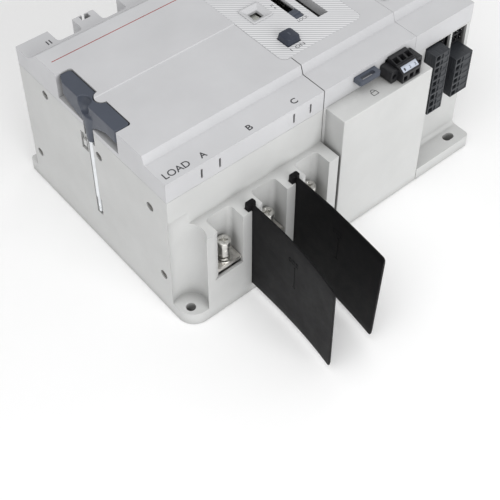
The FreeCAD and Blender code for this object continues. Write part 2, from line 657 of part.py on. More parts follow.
def operating_lever():
    """The socket that takes the removable handle, under the long slot."""
    x0, x1 = LEVER_SLOT_X - 5, LEVER_SLOT_X + 5
    hub = cyl(13, (x0, AXIS_Y, AXIS_Z), x1 - x0, "X")
    arm = box(x0, x1, AXIS_Y - 6, AXIS_Y + 6, AXIS_Z, AXIS_Z + LEVER_R)
    socket = cyl(ROD_R + FREE, (LEVER_SLOT_X, AXIS_Y, AXIS_Z + LEVER_R - 45), 46)
    return join([hub, arm]).cut([socket, cyl(DRIVE_SHAFT_R, (x0, AXIS_Y, AXIS_Z), x1 - x0, "X")])


def indicator_flag():
    """A curved flag on an arm, read through the window."""
    half = SWING + 6
    x0, x1 = WINDOW_X - 6.5, WINDOW_X + 6.5
    rim = tube_x(FLAG_R, FLAG_R - 2, x0, x1)
    reach = FLAG_R * 1.5
    a = math.radians(half)
    sector = extrude_x([(AXIS_Y, AXIS_Z), (AXIS_Y + reach * math.sin(a), AXIS_Z + reach * math.cos(a)),
                        (AXIS_Y - reach * math.sin(a), AXIS_Z + reach * math.cos(a))], x0, x1)
    web = extrude_x([(AXIS_Y - 8, AXIS_Z), (AXIS_Y + 8, AXIS_Z), (AXIS_Y + 30, AXIS_Z + 73),
                     (AXIS_Y - 30, AXIS_Z + 73)], WINDOW_X - 1.5, WINDOW_X + 1.5)
    web = web.common(cyl(FLAG_R - 1, (x0, AXIS_Y, AXIS_Z), x1 - x0, "X"))
    hub = cyl(12, (WINDOW_X - 5, AXIS_Y, AXIS_Z), 10, "X")
    flag = join([rim.common(sector), web, hub])
    return flag.cut(cyl(DRIVE_SHAFT_R, (x0, AXIS_Y, AXIS_Z), x1 - x0, "X"))


def detent_cam():
    x0 = GEAR_X + GEAR_T + 3
    cam = cyl(22, (x0, AXIS_Y, AXIS_Z), 6, "X")
    notches = []
    for angle in (-SWING, 0, SWING):
        notch = cyl(4, (x0, AXIS_Y, AXIS_Z + 22.5), 6, "X")
        notches.append(turned(notch, angle))
    return cam.cut(notches + [cyl(DRIVE_SHAFT_R, (x0, AXIS_Y, AXIS_Z), 6, "X")])


def detent_spring():
    """A leaf with its roller, standing just clear of the cam."""
    x0 = GEAR_X + GEAR_T + 3
    z = AXIS_Z + 22 + FREE
    roller = cyl(3, (x0, AXIS_Y, z + 3), 6, "X")
    leaf = box(x0, x0 + 6, AXIS_Y - 30, AXIS_Y + 6, z + 5.6, z + 6.4)
    post = box(x0 - 2, DRIVE_X1 - SKIN - SEAM / 2, AXIS_Y - 38, AXIS_Y - 30, z, z + 14)
    return join([roller, leaf, post])


# ---------------------------------------------------------------- drive cover and controls
def window_pit():
    """A tapered opening down to the flag."""
    outer, inner = WINDOW_W / 2, WINDOW_IN / 2
    top, bottom = COVER_Z + 0.01, COVER_Z - SKIN
    wires = []
    for half, z in ((outer, top), (inner, bottom)):
        pts = [V(WINDOW_X + sx * half, AXIS_Y + sy * half, z)
               for sx, sy in ((-1, -1), (1, -1), (1, 1), (-1, 1), (-1, -1))]
        wires.append(Part.makePolygon(pts))
    pit = Part.makeLoft(wires, True, True)
    return pit.fuse(box(WINDOW_X - inner, WINDOW_X + inner, AXIS_Y - inner, AXIS_Y + inner, bottom - 3, top))


def control_openings(clear):
    """Everything that passes through the drive cover and its fascia."""
    cuts = [window_pit()]
    for side in (-1, 1):
        y = AXIS_Y + side * BUTTON_OFFSET_Y
        half = BUTTON_W / 2 + clear
        cuts.append(box(BUTTON_X - half, BUTTON_X + half, y - half, y + half, COVER_Z - 10, COVER_Z + 5))
    lock_y1 = LOCK_Y0 + LOCK_HEAD + LOCK_TRAVEL + 1.5
    cuts.append(box(LOCK_X - LOCK_W / 2, LOCK_X + LOCK_W / 2, LOCK_Y0, lock_y1, COVER_Z - 10, COVER_Z + 5))
    half = LEVER_SLOT_W / 2
    cuts.append(box(LEVER_SLOT_X - half, LEVER_SLOT_X + half, AXIS_Y - LEVER_SLOT_HALF,
                    AXIS_Y + LEVER_SLOT_HALF, COVER_Z - 10, COVER_Z + 5))
    return cuts


def fascia_blank(top_extra):
    return rounded_box(FASCIA_X0, FASCIA_X1, AXIS_Y - FASCIA_HALF_Y, AXIS_Y + FASCIA_HALF_Y,
                       COVER_Z - FASCIA_T, COVER_Z + top_extra, 7)


def control_fascia():
    return fascia_blank(0).cut(control_openings(FREE))


def drive_cover():
    x0 = DRIVE_X0 + MODULE_GAP / 2
    x1 = DRIVE_X1 - SEAM / 2
    body = extrude_x(cover_profile(FACE_Y), x0, x1)
    tab = tongue(0).common(box(0, x0 + 1, 0, 300, 0, COVER_Z))
    body = body.fuse(tab)
    cuts = cover_hollow(x0 + SKIN, x1 - SKIN, DEPTH - SKIN) + control_openings(FREE) + [fascia_blank(1)]
    cuts.append(box(PADLOCK_X0 - FREE, PADLOCK_X1 + FREE, FACE_Y - 1, FACE_Y + SKIN + 1,
                    PADLOCK_Z - FREE, PADLOCK_Z + PADLOCK_T + FREE))
    socket_half = PLUG_POLES * PLUG_PITCH / 2 + SOCKET_WALL + 2 * FREE
    cuts.append(box(PLUG_X - socket_half, PLUG_X + socket_half, FACE_Y - 1, FACE_Y + SKIN + 1,
                    SPLIT_Z - 1, 166))
    rail_y1 = PADLOCK_END - PADLOCK_EAR - PADLOCK_TRAVEL
    rails = [box(PADLOCK_X0 - FREE - 3, PADLOCK_X0 - FREE, FACE_Y + SKIN, rail_y1, 160, SOURCE_TOP),
             box(PADLOCK_X1 + FREE, PADLOCK_X1 + FREE + 3, FACE_Y + SKIN, rail_y1, 160, SOURCE_TOP)]
    return body.cut(cuts).fuse(rails + [lever_well()])


def lever_well():
    """The skirt that lines the long slot, clear of the lever below it."""
    half = LEVER_SLOT_W / 2
    reach = LEVER_SLOT_HALF
    z0 = AXIS_Z + LEVER_R + 2
    x0, x1 = LEVER_SLOT_X - half, LEVER_SLOT_X + half
    y0, y1 = AXIS_Y - reach, AXIS_Y + reach
    outer = box(x0 - 1.5, x1 + 1.5, y0 - 1.5, y1 + 1.5, z0, COVER_Z - SKIN + 0.5)
    return outer.cut(box(x0, x1, y0, y1, z0, COVER_Z))


def push_button(side):
    """A tapered cap with a flange under the cover."""
    y = AXIS_Y + side * BUTTON_OFFSET_Y
    wires = []
    for half, z in ((BUTTON_W / 2, COVER_Z), (BUTTON_TOP_W / 2, COVER_Z + BUTTON_H)):
        pts = [V(BUTTON_X + sx * half, y + sy * half, z)
               for sx, sy in ((-1, -1), (1, -1), (1, 1), (-1, 1), (-1, -1))]
        wires.append(Part.makePolygon(pts))
    cap = Part.makeLoft(wires, True, True)
    half = BUTTON_W / 2
    stem = box(BUTTON_X - half, BUTTON_X + half, y - half, y + half, COVER_Z - 6, COVER_Z)
    flange_z = COVER_Z - SKIN - 0.3
    flange = box(BUTTON_X - half - 1.5, BUTTON_X + half + 1.5, y - half, y + half, flange_z - 2.5, flange_z)
    post_y = y + side * 4
    post = box(BUTTON_X - 3, BUTTON_X + 3, post_y - 3, post_y + 3, BUTTON_POST_Z, COVER_Z - 6)
    return join([cap, stem, flange, post])


def button_board(side):
    """A small board with its tactile switch below a button, clear of the swinging flag."""
    y = AXIS_Y + side * (BUTTON_OFFSET_Y + 4)
    board = box(BUTTON_X - 9, DRIVE_X0 + 60, y - 4.5, y + 9, BOARD_Z, BOARD_Z + BOARD_T)
    top = BOARD_Z + BOARD_T
    switch = box(BUTTON_X - 3, BUTTON_X + 3, y - 3, y + 3, top, BUTTON_POST_Z - BUTTON_TRAVEL - FREE)
    return board.fuse(switch)


def lock_slider():
    half = LOCK_W / 2 - FREE
    y0 = LOCK_Y0 + 0.6
    head = box(LOCK_X - half, LOCK_X + half, y0, y0 + LOCK_HEAD, COVER_Z - SKIN - 1, COVER_Z - 0.6)
    ridge = box(LOCK_X - half, LOCK_X + half, y0 + 5, y0 + 7.5, COVER_Z - 1, COVER_Z + 0.6)
    flange_z = COVER_Z - SKIN - FREE
    flange = box(LOCK_X - half - 2.2, LOCK_X + half + 2.2, y0 - 1.5, y0 + LOCK_HEAD + 1.5,
                 flange_z - 2, flange_z)
    return join([head, ridge, flange])


def padlock_slide():
    """The plate that takes a padlock. Its ears meet the rails at full travel."""
    z1 = PADLOCK_Z + PADLOCK_T
    plate = rounded_box(PADLOCK_X0, PADLOCK_X1, FACE_Y - 9, PADLOCK_END, PADLOCK_Z, z1, 2.5)
    ears = box(PADLOCK_X0 - 2.4, PADLOCK_X1 + 2.4, PADLOCK_END - PADLOCK_EAR, PADLOCK_END - 1, PADLOCK_Z, z1)
    shackle = rounded_box(PADLOCK_X0 + 4.3, PADLOCK_X1 - 5, FACE_Y - 6.9, FACE_Y - 2.4,
                          PADLOCK_Z - 1, z1 + 1, 1)
    inner = rounded_box(PADLOCK_X0 + 4.3, PADLOCK_X1 - 5, FACE_Y + 2, FACE_Y + 12, PADLOCK_Z - 1, z1 + 1, 1)
    return join([plate, ears]).cut([shackle, inner])


def control_socket():
    half = PLUG_POLES * PLUG_PITCH / 2 + SOCKET_WALL + FREE
    y0 = FACE_Y + 0.2
    shell = box(PLUG_X - half, PLUG_X + half, y0, FACE_Y + 14, SPLIT_Z + SEAM, 165.7)
    core = PLUG_POLES * PLUG_PITCH / 2 + FREE
    mouth = box(PLUG_X - core, PLUG_X + core, y0 - 1, FACE_Y + 8, SPLIT_Z + 2 - FREE, 164)
    return shell.cut(mouth)


def control_plug():
    """Three-way screw plug with flange ears."""
    half = PLUG_POLES * PLUG_PITCH / 2
    z0 = SPLIT_Z + SEAM
    ear_y1 = FACE_Y - FREE
    outline = [(2.6, z0), (2.6, 161.0), (8.0, 165.0), (ear_y1, 165.0), (ear_y1, z0)]
    body = extrude_x(outline, PLUG_X - half, PLUG_X + half)
    ears = box(PLUG_X - half - 8.5, PLUG_X + half + 8.5, 8.6, ear_y1, z0, 163.5)
    nose = box(PLUG_X - half, PLUG_X + half, ear_y1 - 1, FACE_Y + 6, SPLIT_Z + 2, 163.7)
    cuts = []
    for i in range(PLUG_POLES):
        x = PLUG_X + (i - (PLUG_POLES - 1) / 2) * PLUG_PITCH
        cuts.append(box(x - 2, x + 2, 2, 11, 152.6, 157))
        cuts.append(cyl(2.2, (x, 13.5, 158.5), 8))
    for s in (-1, 1):
        cuts.append(cyl(2.4, (PLUG_X + s * (half + 4.2), 8, 157), 5, "Y"))
    return join([body, ears, nose]).cut(cuts)


# ---------------------------------------------------------------- control module
def signal_openings():
    """Through openings of the front wall, one for each connector stack."""
    top = SPLIT_Z - 1.6
    y0, y1 = FACE_Y - 1, FACE_Y + SKIN + 1
    return [box(SIGNAL_LEFT[0] - 0.4, DIVIDER_X - 2.6, y0, y1, SIGNAL_LEFT_Z[0] - 1, top),
            box(DIVIDER_X, SIGNAL_RIGHT[1] + 1.3, y0, y1, SIGNAL_RIGHT_Z[0] - 1, top)]


def control_housing():
    x0 = DRIVE_X1 + SEAM / 2
    body = box(x0, BODY_X1, FACE_Y, DEPTH, 0, SPLIT_Z)
    foot = rounded_box(x0, BODY_X1, 0, FACE_Y + 20, 0, FOOT_H, 5)
    square = box(x0, x0 + 8, 0, FACE_Y, 0, FOOT_H)
    body = join([body, foot, square, rear_foot(BODY_X1 - 40, BODY_X1)])
    fillet = box(x0, BODY_X1, FACE_Y - 4, FACE_Y, FOOT_H, FOOT_H + 4)
    fillet = fillet.cut(cyl(4, (x0 - 1, FACE_Y - 4, FOOT_H + 4), CONTROL_W + 2, "X"))
    body = body.fuse(fillet)
    cuts = [box(x0 + SKIN, BODY_X1 - SKIN, FACE_Y + SKIN, DEPTH - SKIN, FLOOR, SPLIT_Z + 1)]
    cuts += signal_openings()
    cuts += [mounting_slot(SLOT_X, HOLE_Y0), mounting_slot(SLOT_X, HOLE_Y1)]
    return body.cut(cuts)


def control_cover():
    x0 = DRIVE_X1 + SEAM / 2
    body = extrude_x(cover_profile(FACE_Y), x0, BODY_X1)
    cuts = cover_hollow(x0 + SKIN, BODY_X1 - SKIN, DEPTH - SKIN)
    cuts.append(cyl(DIAL_R + FREE, (DIAL_X, DIAL_Y, COVER_Z - 6), 10))
    for x, y in light_places():
        cuts.append(cyl(1.6, (x, y, COVER_Z - 6), 10))
    return body.cut(cuts)


def light_places():
    return [(DIAL_X + 21.5 + 12 * i, DIAL_Y) for i in range(4)]


def status_lights():
    lights = []
    for x, y in light_places():
        lights.append(cyl(1.5, (x, y, COVER_Z - 8), 8.4).fuse(cyl(2.4, (x, y, COVER_Z - 8), 4.9)))
    return group(lights)


def delay_dial():
    y = DIAL_Y
    cap = cyl(DIAL_R, (DIAL_X, y, COVER_Z - 5), 7)
    collar = cyl(DIAL_R + 1.2, (DIAL_X, y, COVER_Z - SKIN - 2.2), 2)
    spindle = cyl(2, (DIAL_X, y, TOP_BOARD_Z + BOARD_T), COVER_Z - 5 - TOP_BOARD_Z - BOARD_T)
    slot = box(DIAL_X - 5, DIAL_X + 5, y - 0.7, y + 0.7, COVER_Z + 0.8, COVER_Z + 3)
    return join([cap, collar, spindle]).cut(slot)


def display_board():
    """The board under the control cover."""
    return box(DRIVE_X1 + 5, BODY_X1 - 5, 60, 160, TOP_BOARD_Z, TOP_BOARD_Z + BOARD_T)


def signal_plug(xs, z0, z1):
    """A plug whose nose passes the front wall, inside the opening of its stack."""
    half_gap = SEAM
    x0, x1 = xs
    nose_x0 = x0 if xs == SIGNAL_LEFT else DIVIDER_X + FREE
    body = box(x0, x1, SIGNAL_FACE_Y, FACE_Y - FREE, z0 + half_gap, z1 - half_gap)
    body = body.fuse(box(nose_x0, x1, FACE_Y - 1, HEADER_Y0 - 1, z0 + half_gap, z1 - half_gap))
    cuts = []
    count = max(2, round((z1 - z0) / 5.0))
    for i in range(count):
        z = z0 + (z1 - z0) * (i + 0.5) / count
        for x in (x0 + (x1 - x0) * 0.28, x0 + (x1 - x0) * 0.72):
            cuts.append(box(x - 2.2, x + 2.2, SIGNAL_FACE_Y - 1, SIGNAL_FACE_Y + 7, z - 1.3, z + 1.3))
    return body.cut(cuts)


def signal_headers():
    headers = []
    for xs, zs in ((SIGNAL_LEFT, SIGNAL_LEFT_Z), (SIGNAL_RIGHT, SIGNAL_RIGHT_Z)):
        headers.append(box(xs[0], xs[1], HEADER_Y0, BOARD_Y, zs[0], zs[-1]))
    return group(headers)


def control_board():
    return box(DRIVE_X1 + 5, BODY_X1 - 4, BOARD_Y, BOARD_Y + BOARD_T, 20, 147)


def board_relays():
    y0 = BOARD_Y + BOARD_T
    x0 = CONTROL_X0 + 7.5
    return group([box(x0 + 17 * i, x0 + 17 * i + 13, y0, y0 + 15, 30, 58) for i in range(4)])


# ---------------------------------------------------------------- stowed handle
def handle_grip():
    """The T grip: two wings, a waist notch round the boss and a neck on the rod."""
    top = COVER_Z
    neck_y0 = AXIS_Y - NECK_HALF
    neck_y1 = AXIS_Y + NECK_HALF
    wings = [(GRIP_Y0, top), (GRIP_Y0, 165.5), (108, 166.5), (121, 161), (neck_y0, 156.5),
             (neck_y1, 156.5), (155, 157.5), (160, 160.5), (176, 168), (GRIP_Y1, 168), (GRIP_Y1, top)]
    body = extrude_x(wings, 0, GRIP_W + 1)
    body = body.common(rounded_box(0.2, GRIP_W, GRIP_Y0, GRIP_Y1, 150, top, 3))
    neck = extrude_x([(neck_y0, 172), (neck_y0, 144), (neck_y0 + 6, NECK_Z), (neck_y1, NECK_Z),
                      (neck_y1, 172)], NECK_X0, NECK_X1)
    boss = cyl(BOSS_WAIST_R + 0.8, (GRIP_W + GRIP_CLEAR, AXIS_Y - 2, 130), 60)
    hollow = cyl(8.5, (-3.0, AXIS_Y, 174), 20)
    bore = cyl(ROD_R, (ROD_X, AXIS_Y, NECK_Z - 1), 19)
    return join([body, neck]).cut([boss, hollow, bore])


def handle_rod():
    x = ROD_X
    shank = cyl(ROD_R, (x, AXIS_Y, ROD_TIP_Z), NECK_Z + 18 - ROD_TIP_Z)
    tip = cyl(ROD_TIP_R, (x, AXIS_Y, ROD_Z0), ROD_TIP_Z - ROD_Z0 + 1)
    pin = cyl(1.2, (x - 3.2, AXIS_Y, ROD_Z0 + 6), 6.2, "X")
    return join([shank, tip, pin])


# ---------------------------------------------------------------- write every node
def build():
    places = screw_places()
    nodes = {
        "switch_housing": switch_housing(), "switch_cover": switch_cover(), "side_screws": side_screws(),
        "bearing_caps": bearing_caps(), "contact_shaft": contact_shaft(),
        "terminal_screws": group([terminal_screw(*p) for p in places]),
        "flat_washers": flat_washers(places), "spring_washers": spring_washers(places),
        "captive_nuts": captive_nuts(places),
        "drive_housing": drive_housing(), "drive_cover": drive_cover(), "control_fascia": control_fascia(),
        "gear_plate": gear_plate(), "drive_motor": drive_motor(),
        "drive_gear": drive_gear(), "motor_pinion": motor_pinion(), "drive_shaft": drive_shaft(),
        "operating_lever": operating_lever(), "indicator_flag": indicator_flag(),
        "detent_cam": detent_cam(), "detent_spring": detent_spring(),
        "button_1": push_button(-1), "button_2": push_button(1),
        "front_boards": group([button_board(-1), button_board(1), display_board()]),
        "lock_slider": lock_slider(), "padlock_slide": padlock_slide(),
        "control_socket": control_socket(), "control_plug": control_plug(),
        "control_housing": control_housing(), "control_cover": control_cover(),
        "status_lights": status_lights(), "delay_dial": delay_dial(),
        "signal_headers": signal_headers(), "control_board": control_board(),
        "board_relays": board_relays(),
        "handle_grip": handle_grip(), "handle_rod": handle_rod(),
    }
    for name, x in zip(POLE_NAMES, POLE_X):
        nodes["load_bar_" + name] = load_bar(x)
        nodes["source_1_bar_" + name] = source_bar(x, BAR_Z, -SWING)
        nodes["source_2_bar_" + name] = source_bar(x, UPPER_BAR_Z, SWING)
        nodes["moving_contact_" + name] = moving_contact(x)
        nodes["arc_chute_" + name] = arc_chute(x)
    for number, (x, bow) in enumerate(zip(wall_xs(), BARRIER_BOW), 1):
        nodes["phase_barrier_%d" % number] = phase_barrier(x, bow)
    stacks = [(SIGNAL_LEFT, z) for z in zip(SIGNAL_LEFT_Z, SIGNAL_LEFT_Z[1:])]
    stacks += [(SIGNAL_RIGHT, z) for z in zip(SIGNAL_RIGHT_Z, SIGNAL_RIGHT_Z[1:])]
    for number, (xs, (z0, z1)) in enumerate(stacks, 1):
        nodes["signal_plug_%d" % number] = signal_plug(xs, z0, z1)
    return nodes


def main():
    os.makedirs("parts", exist_ok=True)
    for name, shape in build().items():
        if not shape.isValid():
            raise ValueError("invalid shape: " + name)
        shape.translated(-ORIGIN).exportStep("parts/%s.step" % name)
        print("%-24s %2d solids  %10.0f mm3" % (name, len(shape.Solids), shape.Volume))


main()
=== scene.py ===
"""Three-pole motorised transfer switch: looks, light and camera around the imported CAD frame."""
import bpy
import bmesh
import json
import math
import random
from mathutils import Matrix, Vector


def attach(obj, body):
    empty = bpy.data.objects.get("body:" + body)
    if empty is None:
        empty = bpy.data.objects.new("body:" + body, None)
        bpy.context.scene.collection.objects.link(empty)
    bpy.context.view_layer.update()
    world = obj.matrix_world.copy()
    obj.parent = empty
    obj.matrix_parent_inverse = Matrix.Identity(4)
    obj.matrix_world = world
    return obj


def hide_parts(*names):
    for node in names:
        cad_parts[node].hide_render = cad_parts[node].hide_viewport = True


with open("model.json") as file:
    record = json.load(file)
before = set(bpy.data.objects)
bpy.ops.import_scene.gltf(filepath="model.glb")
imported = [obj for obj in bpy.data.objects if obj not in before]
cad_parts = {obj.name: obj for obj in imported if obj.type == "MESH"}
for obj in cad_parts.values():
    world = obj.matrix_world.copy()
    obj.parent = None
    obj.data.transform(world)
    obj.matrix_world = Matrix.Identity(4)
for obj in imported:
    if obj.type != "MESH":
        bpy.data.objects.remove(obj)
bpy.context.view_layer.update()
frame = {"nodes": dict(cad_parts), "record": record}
random.seed(11)
bpy.context.scene.view_settings.view_transform = "Standard"
MM = 0.001
OX, OY = 178.25, 134.0      # the part's origin, from the corner that the lengths below start at


def P(x, y, z):
    """A corner-based position in millimetres as a row-frame position in metres."""
    return Vector(((x - OX) * MM, (y - OY) * MM, z * MM))


# ------------------------------------------------------------------ materials
def new_material(name):
    """A node material, its tree and its main shader."""
    mat = bpy.data.materials.new(name)
    mat.use_nodes = True
    nt = mat.node_tree
    bsdf = nt.nodes["Principled BSDF"]
    return mat, nt, bsdf


def noise(nt, scale, detail=3.0, rough=0.55, vector=None):
    """Noise in object space, or along the given vector."""
    n = nt.nodes.new("ShaderNodeTexNoise")
    n.inputs["Scale"].default_value = scale
    n.inputs["Detail"].default_value = detail
    n.inputs["Roughness"].default_value = rough
    coord = vector or nt.nodes.new("ShaderNodeTexCoord").outputs["Object"]
    nt.links.new(coord, n.inputs["Vector"])
    return n.outputs["Fac"]


def math_node(nt, op, a, b, c=None):
    n = nt.nodes.new("ShaderNodeMath")
    n.operation = op
    for i, v in enumerate((a, b, c)):
        if v is None:
            continue
        if isinstance(v, (int, float)):
            n.inputs[i].default_value = v
        else:
            nt.links.new(v, n.inputs[i])
    return n.outputs[0]


def map_range(nt, value, lo, hi, to_lo, to_hi):
    n = nt.nodes.new("ShaderNodeMapRange")
    nt.links.new(value, n.inputs["Value"])
    n.inputs["From Min"].default_value = lo
    n.inputs["From Max"].default_value = hi
    n.inputs["To Min"].default_value = to_lo
    n.inputs["To Max"].default_value = to_hi
    return n.outputs["Result"]


def mix_color(nt, fac, a, b):
    n = nt.nodes.new("ShaderNodeMix")
    n.data_type = "RGBA"
    if isinstance(fac, (int, float)):
        n.inputs["Factor"].default_value = fac
    else:
        nt.links.new(fac, n.inputs["Factor"])
    for sock, v in ((n.inputs[6], a), (n.inputs[7], b)):
        if isinstance(v, tuple):
            sock.default_value = (*v, 1.0)
        else:
            nt.links.new(v, sock)
    return n.outputs[2]


def shade(color, k):
    """The colour made k times as bright."""
    return tuple(min(1.0, c * k) for c in color)


def edge_mask(nt, radius):
    """1 on edges, where the lightening for wear and painted highlight goes, 0 on open faces."""
    bevel = nt.nodes.new("ShaderNodeBevel")
    bevel.samples = 4
    bevel.inputs["Radius"].default_value = radius
    geo = nt.nodes.new("ShaderNodeNewGeometry")
    dot = nt.nodes.new("ShaderNodeVectorMath")
    dot.operation = "DOT_PRODUCT"
    nt.links.new(bevel.outputs[0], dot.inputs[0])
    nt.links.new(geo.outputs["Normal"], dot.inputs[1])
    return map_range(nt, dot.outputs["Value"], 0.995, 0.85, 0.0, 1.0)


def plastic(name, color, rough=0.45, grain=2200.0, bump=0.12, vary=0.035, edge_wear_and_highlight=0.25, round_mm=0.5,
            spec=0.4, recess_shade=0.0):
    """Moulded plastic: fine spark-eroded grain, cloudy tone, edges lightened as rubbed wear and painted
    highlight, painted shade in recesses, uneven gloss.
    """
    mat, nt, bsdf = new_material(name)
    cloud = noise(nt, 22.0, 4.0)
    tone = map_range(nt, cloud, 0.3, 0.7, 0.0, 1.0)
    base = mix_color(nt, tone, shade(color, 1 - vary), shade(color, 1 + vary))
    speck = map_range(nt, noise(nt, 900.0, 2.0), 0.62, 0.75, 0.0, 0.10)
    base = mix_color(nt, speck, base, shade(color, 0.8))
    # Edges lightened in patches: partly rubbed wear, partly a painted highlight.
    if edge_wear_and_highlight:
        edge = edge_mask(nt, 0.0006)
        patchy = math_node(nt, "MULTIPLY", edge, map_range(nt, noise(nt, 160.0, 3.0), 0.4, 0.7, 0.1, 1.0))
        base = mix_color(nt, math_node(nt, "MULTIPLY", patchy, edge_wear_and_highlight), base, shade(color, 1.35))
    if recess_shade:
        # Painted shade: ambient occlusion darkens recesses, seams and gaps towards a dark grey.
        hollow = nt.nodes.new("ShaderNodeAmbientOcclusion")
        hollow.samples = 8
        hollow.inputs["Distance"].default_value = 0.022
        depth = map_range(nt, hollow.outputs["AO"], 0.22, 0.72, recess_shade, 0.0)
        base = mix_color(nt, depth, base, (0.16, 0.16, 0.155))
    nt.links.new(base, bsdf.inputs["Base Color"])
    uneven = map_range(nt, noise(nt, 60.0, 5.0, 0.7), 0.3, 0.7, rough - 0.06, rough + 0.07)
    nt.links.new(uneven, bsdf.inputs["Roughness"])
    bsdf.inputs["Specular IOR Level"].default_value = spec
    bevel = nt.nodes.new("ShaderNodeBevel")
    bevel.samples = 4
    bevel.inputs["Radius"].default_value = round_mm * MM
    bn = nt.nodes.new("ShaderNodeBump")
    bn.inputs["Strength"].default_value = bump
    bn.inputs["Distance"].default_value = 0.0001
    nt.links.new(noise(nt, grain, 2.0), bn.inputs["Height"])
    nt.links.new(bevel.outputs[0], bn.inputs["Normal"])
    nt.links.new(bn.outputs[0], bsdf.inputs["Normal"])
    return mat


def metal(name, color, rough=0.3, vary=0.08, grain=1500.0, stretch=(1, 1, 1), bump=0.15, dirt=0.3):
    """Plated or machined metal: fine directional marks, cloudy plating, scattered dark spots."""
    mat, nt, bsdf = new_material(name)
    coord = nt.nodes.new("ShaderNodeTexCoord").outputs["Object"]
    mapping = nt.nodes.new("ShaderNodeMapping")
    mapping.inputs["Scale"].default_value = stretch
    nt.links.new(coord, mapping.inputs["Vector"])
    lines = noise(nt, grain, 4.0, 0.7, mapping.outputs[0])
    cloud = map_range(nt, noise(nt, 120.0, 4.0), 0.3, 0.7, 0.0, 1.0)
    base = mix_color(nt, cloud, shade(color, 1 - vary), shade(color, 1 + vary))
    spots = map_range(nt, noise(nt, 420.0, 3.0), 0.6, 0.75, 0.0, dirt)
    base = mix_color(nt, spots, base, shade(color, 0.45))
    nt.links.new(base, bsdf.inputs["Base Color"])
    bsdf.inputs["Metallic"].default_value = 1.0
    nt.links.new(map_range(nt, lines, 0.25, 0.75, rough - 0.08, rough + 0.12), bsdf.inputs["Roughness"])
    bevel = nt.nodes.new("ShaderNodeBevel")
    bevel.samples = 4
    bevel.inputs["Radius"].default_value = 0.0003
    bn = nt.nodes.new("ShaderNodeBump")
    bn.inputs["Strength"].default_value = bump
    bn.inputs["Distance"].default_value = 0.00008
    nt.links.new(lines, bn.inputs["Height"])
    nt.links.new(bevel.outputs[0], bn.inputs["Normal"])
    nt.links.new(bn.outputs[0], bsdf.inputs["Normal"])
    return mat


def hatched_film(name, color, line):
    """The printed film: fine diagonal lines over a satin ground."""
    mat = plastic(name, color, 0.42, 3000.0, 0.05, 0.02, 0.0, 0.25)
    nt = mat.node_tree
    bsdf = nt.nodes["Principled BSDF"]
    ground = bsdf.inputs["Base Color"].links[0].from_socket
    coord = nt.nodes.new("ShaderNodeTexCoord").outputs["Object"]
    sep = nt.nodes.new("ShaderNodeSeparateXYZ")
    nt.links.new(coord, sep.inputs[0])
    across = math_node(nt, "ADD", math_node(nt, "MULTIPLY", sep.outputs["X"], 0.64),
                       math_node(nt, "MULTIPLY", sep.outputs["Y"], 0.77))
    phase = math_node(nt, "FRACT", math_node(nt, "DIVIDE", across, 0.0028), 0.0)
    edge = math_node(nt, "ABSOLUTE", math_node(nt, "SUBTRACT", phase, 0.5), 0.0)
    stripe = map_range(nt, edge, 0.16, 0.22, 1.0, 0.0)
    nt.links.new(mix_color(nt, stripe, ground, line), bsdf.inputs["Base Color"])
    return mat


GREY = (0.575, 0.579, 0.573)
MAT = {
    "housing_grey": plastic("housing_grey", GREY, 0.50, 1800.0, 0.16, recess_shade=0.75),
    "cover_grey": plastic("cover_grey", (0.560, 0.562, 0.575), 0.46, 2200.0, 0.12, recess_shade=0.6),
    "fascia_film": hatched_film("fascia_film", (0.52, 0.525, 0.54), (0.79, 0.79, 0.80)),
    "slate_plastic": plastic("slate_plastic", (0.066, 0.076, 0.100), 0.40, 2000.0, 0.15, 0.06, 0.2),
    "button_plastic": plastic("button_plastic", (0.028, 0.034, 0.052), 0.40, 2400.0, 0.10, 0.05, 0.2),
    "black_plastic": plastic("black_plastic", (0.012, 0.012, 0.014), 0.42, 2000.0, 0.15, 0.1, 0.3),
    "connector_grey": plastic("connector_grey", (0.030, 0.033, 0.038), 0.45, 2000.0, 0.15, 0.08, 0.3),
    "barrier_black": plastic("barrier_black", (0.006, 0.0058, 0.0065), 0.55, 1300.0, 0.10, 0.10, 0.2,
                             0.5, 0.13),
    "zinc_steel": metal("zinc_steel", (0.70, 0.69, 0.66), 0.28),
    "rod_zinc": metal("rod_zinc", (0.88, 0.90, 0.92), 0.5, 0.05),
    "dark_steel": metal("dark_steel", (0.20, 0.195, 0.185), 0.45),
    "silver_copper": metal("silver_copper", (0.80, 0.78, 0.74), 0.30, 0.06),
    "gear_steel": metal("gear_steel", (0.45, 0.45, 0.46), 0.35),
    "motor_can": metal("motor_can", (0.30, 0.31, 0.32), 0.4),
    "flag_white": plastic("flag_white", (0.66, 0.67, 0.62), 0.5, 2400.0, 0.08),
    "board_green": plastic("board_green", (0.04, 0.16, 0.08), 0.3, 900.0, 0.2),
    "fibre": plastic("fibre", (0.30, 0.12, 0.07), 0.6, 700.0, 0.3),
    "dial_black": plastic("dial_black", (0.010, 0.010, 0.012), 0.25, 2600.0, 0.05),
    "light_pipe": plastic("light_pipe", (0.70, 0.73, 0.71), 0.15, 2600.0, 0.03),
    "ink": plastic("ink", (0.045, 0.045, 0.05), 0.55, 2600.0, 0.05, 0.08, 0.0),
    "ink_green": plastic("ink_green", (0.02, 0.22, 0.10), 0.5, 2600.0, 0.05, 0.08, 0.0),
    "ink_red": plastic("ink_red", (0.36, 0.05, 0.04), 0.5, 2600.0, 0.05, 0.08, 0.0),
    "label_grey": plastic("label_grey", (0.50, 0.54, 0.62), 0.4, 2600.0, 0.05, 0.03, 0.0),
    # dark_gap also colours the painted-shade strips in the module joint and the grip recess.
    "dark_gap": plastic("dark_gap", (0.02, 0.02, 0.022), 0.7, 2000.0, 0.1, 0.05, 0.0),
}
SLOT_OF = {s["node"]: s["material_slot"] for s in frame["record"]["subparts"]}
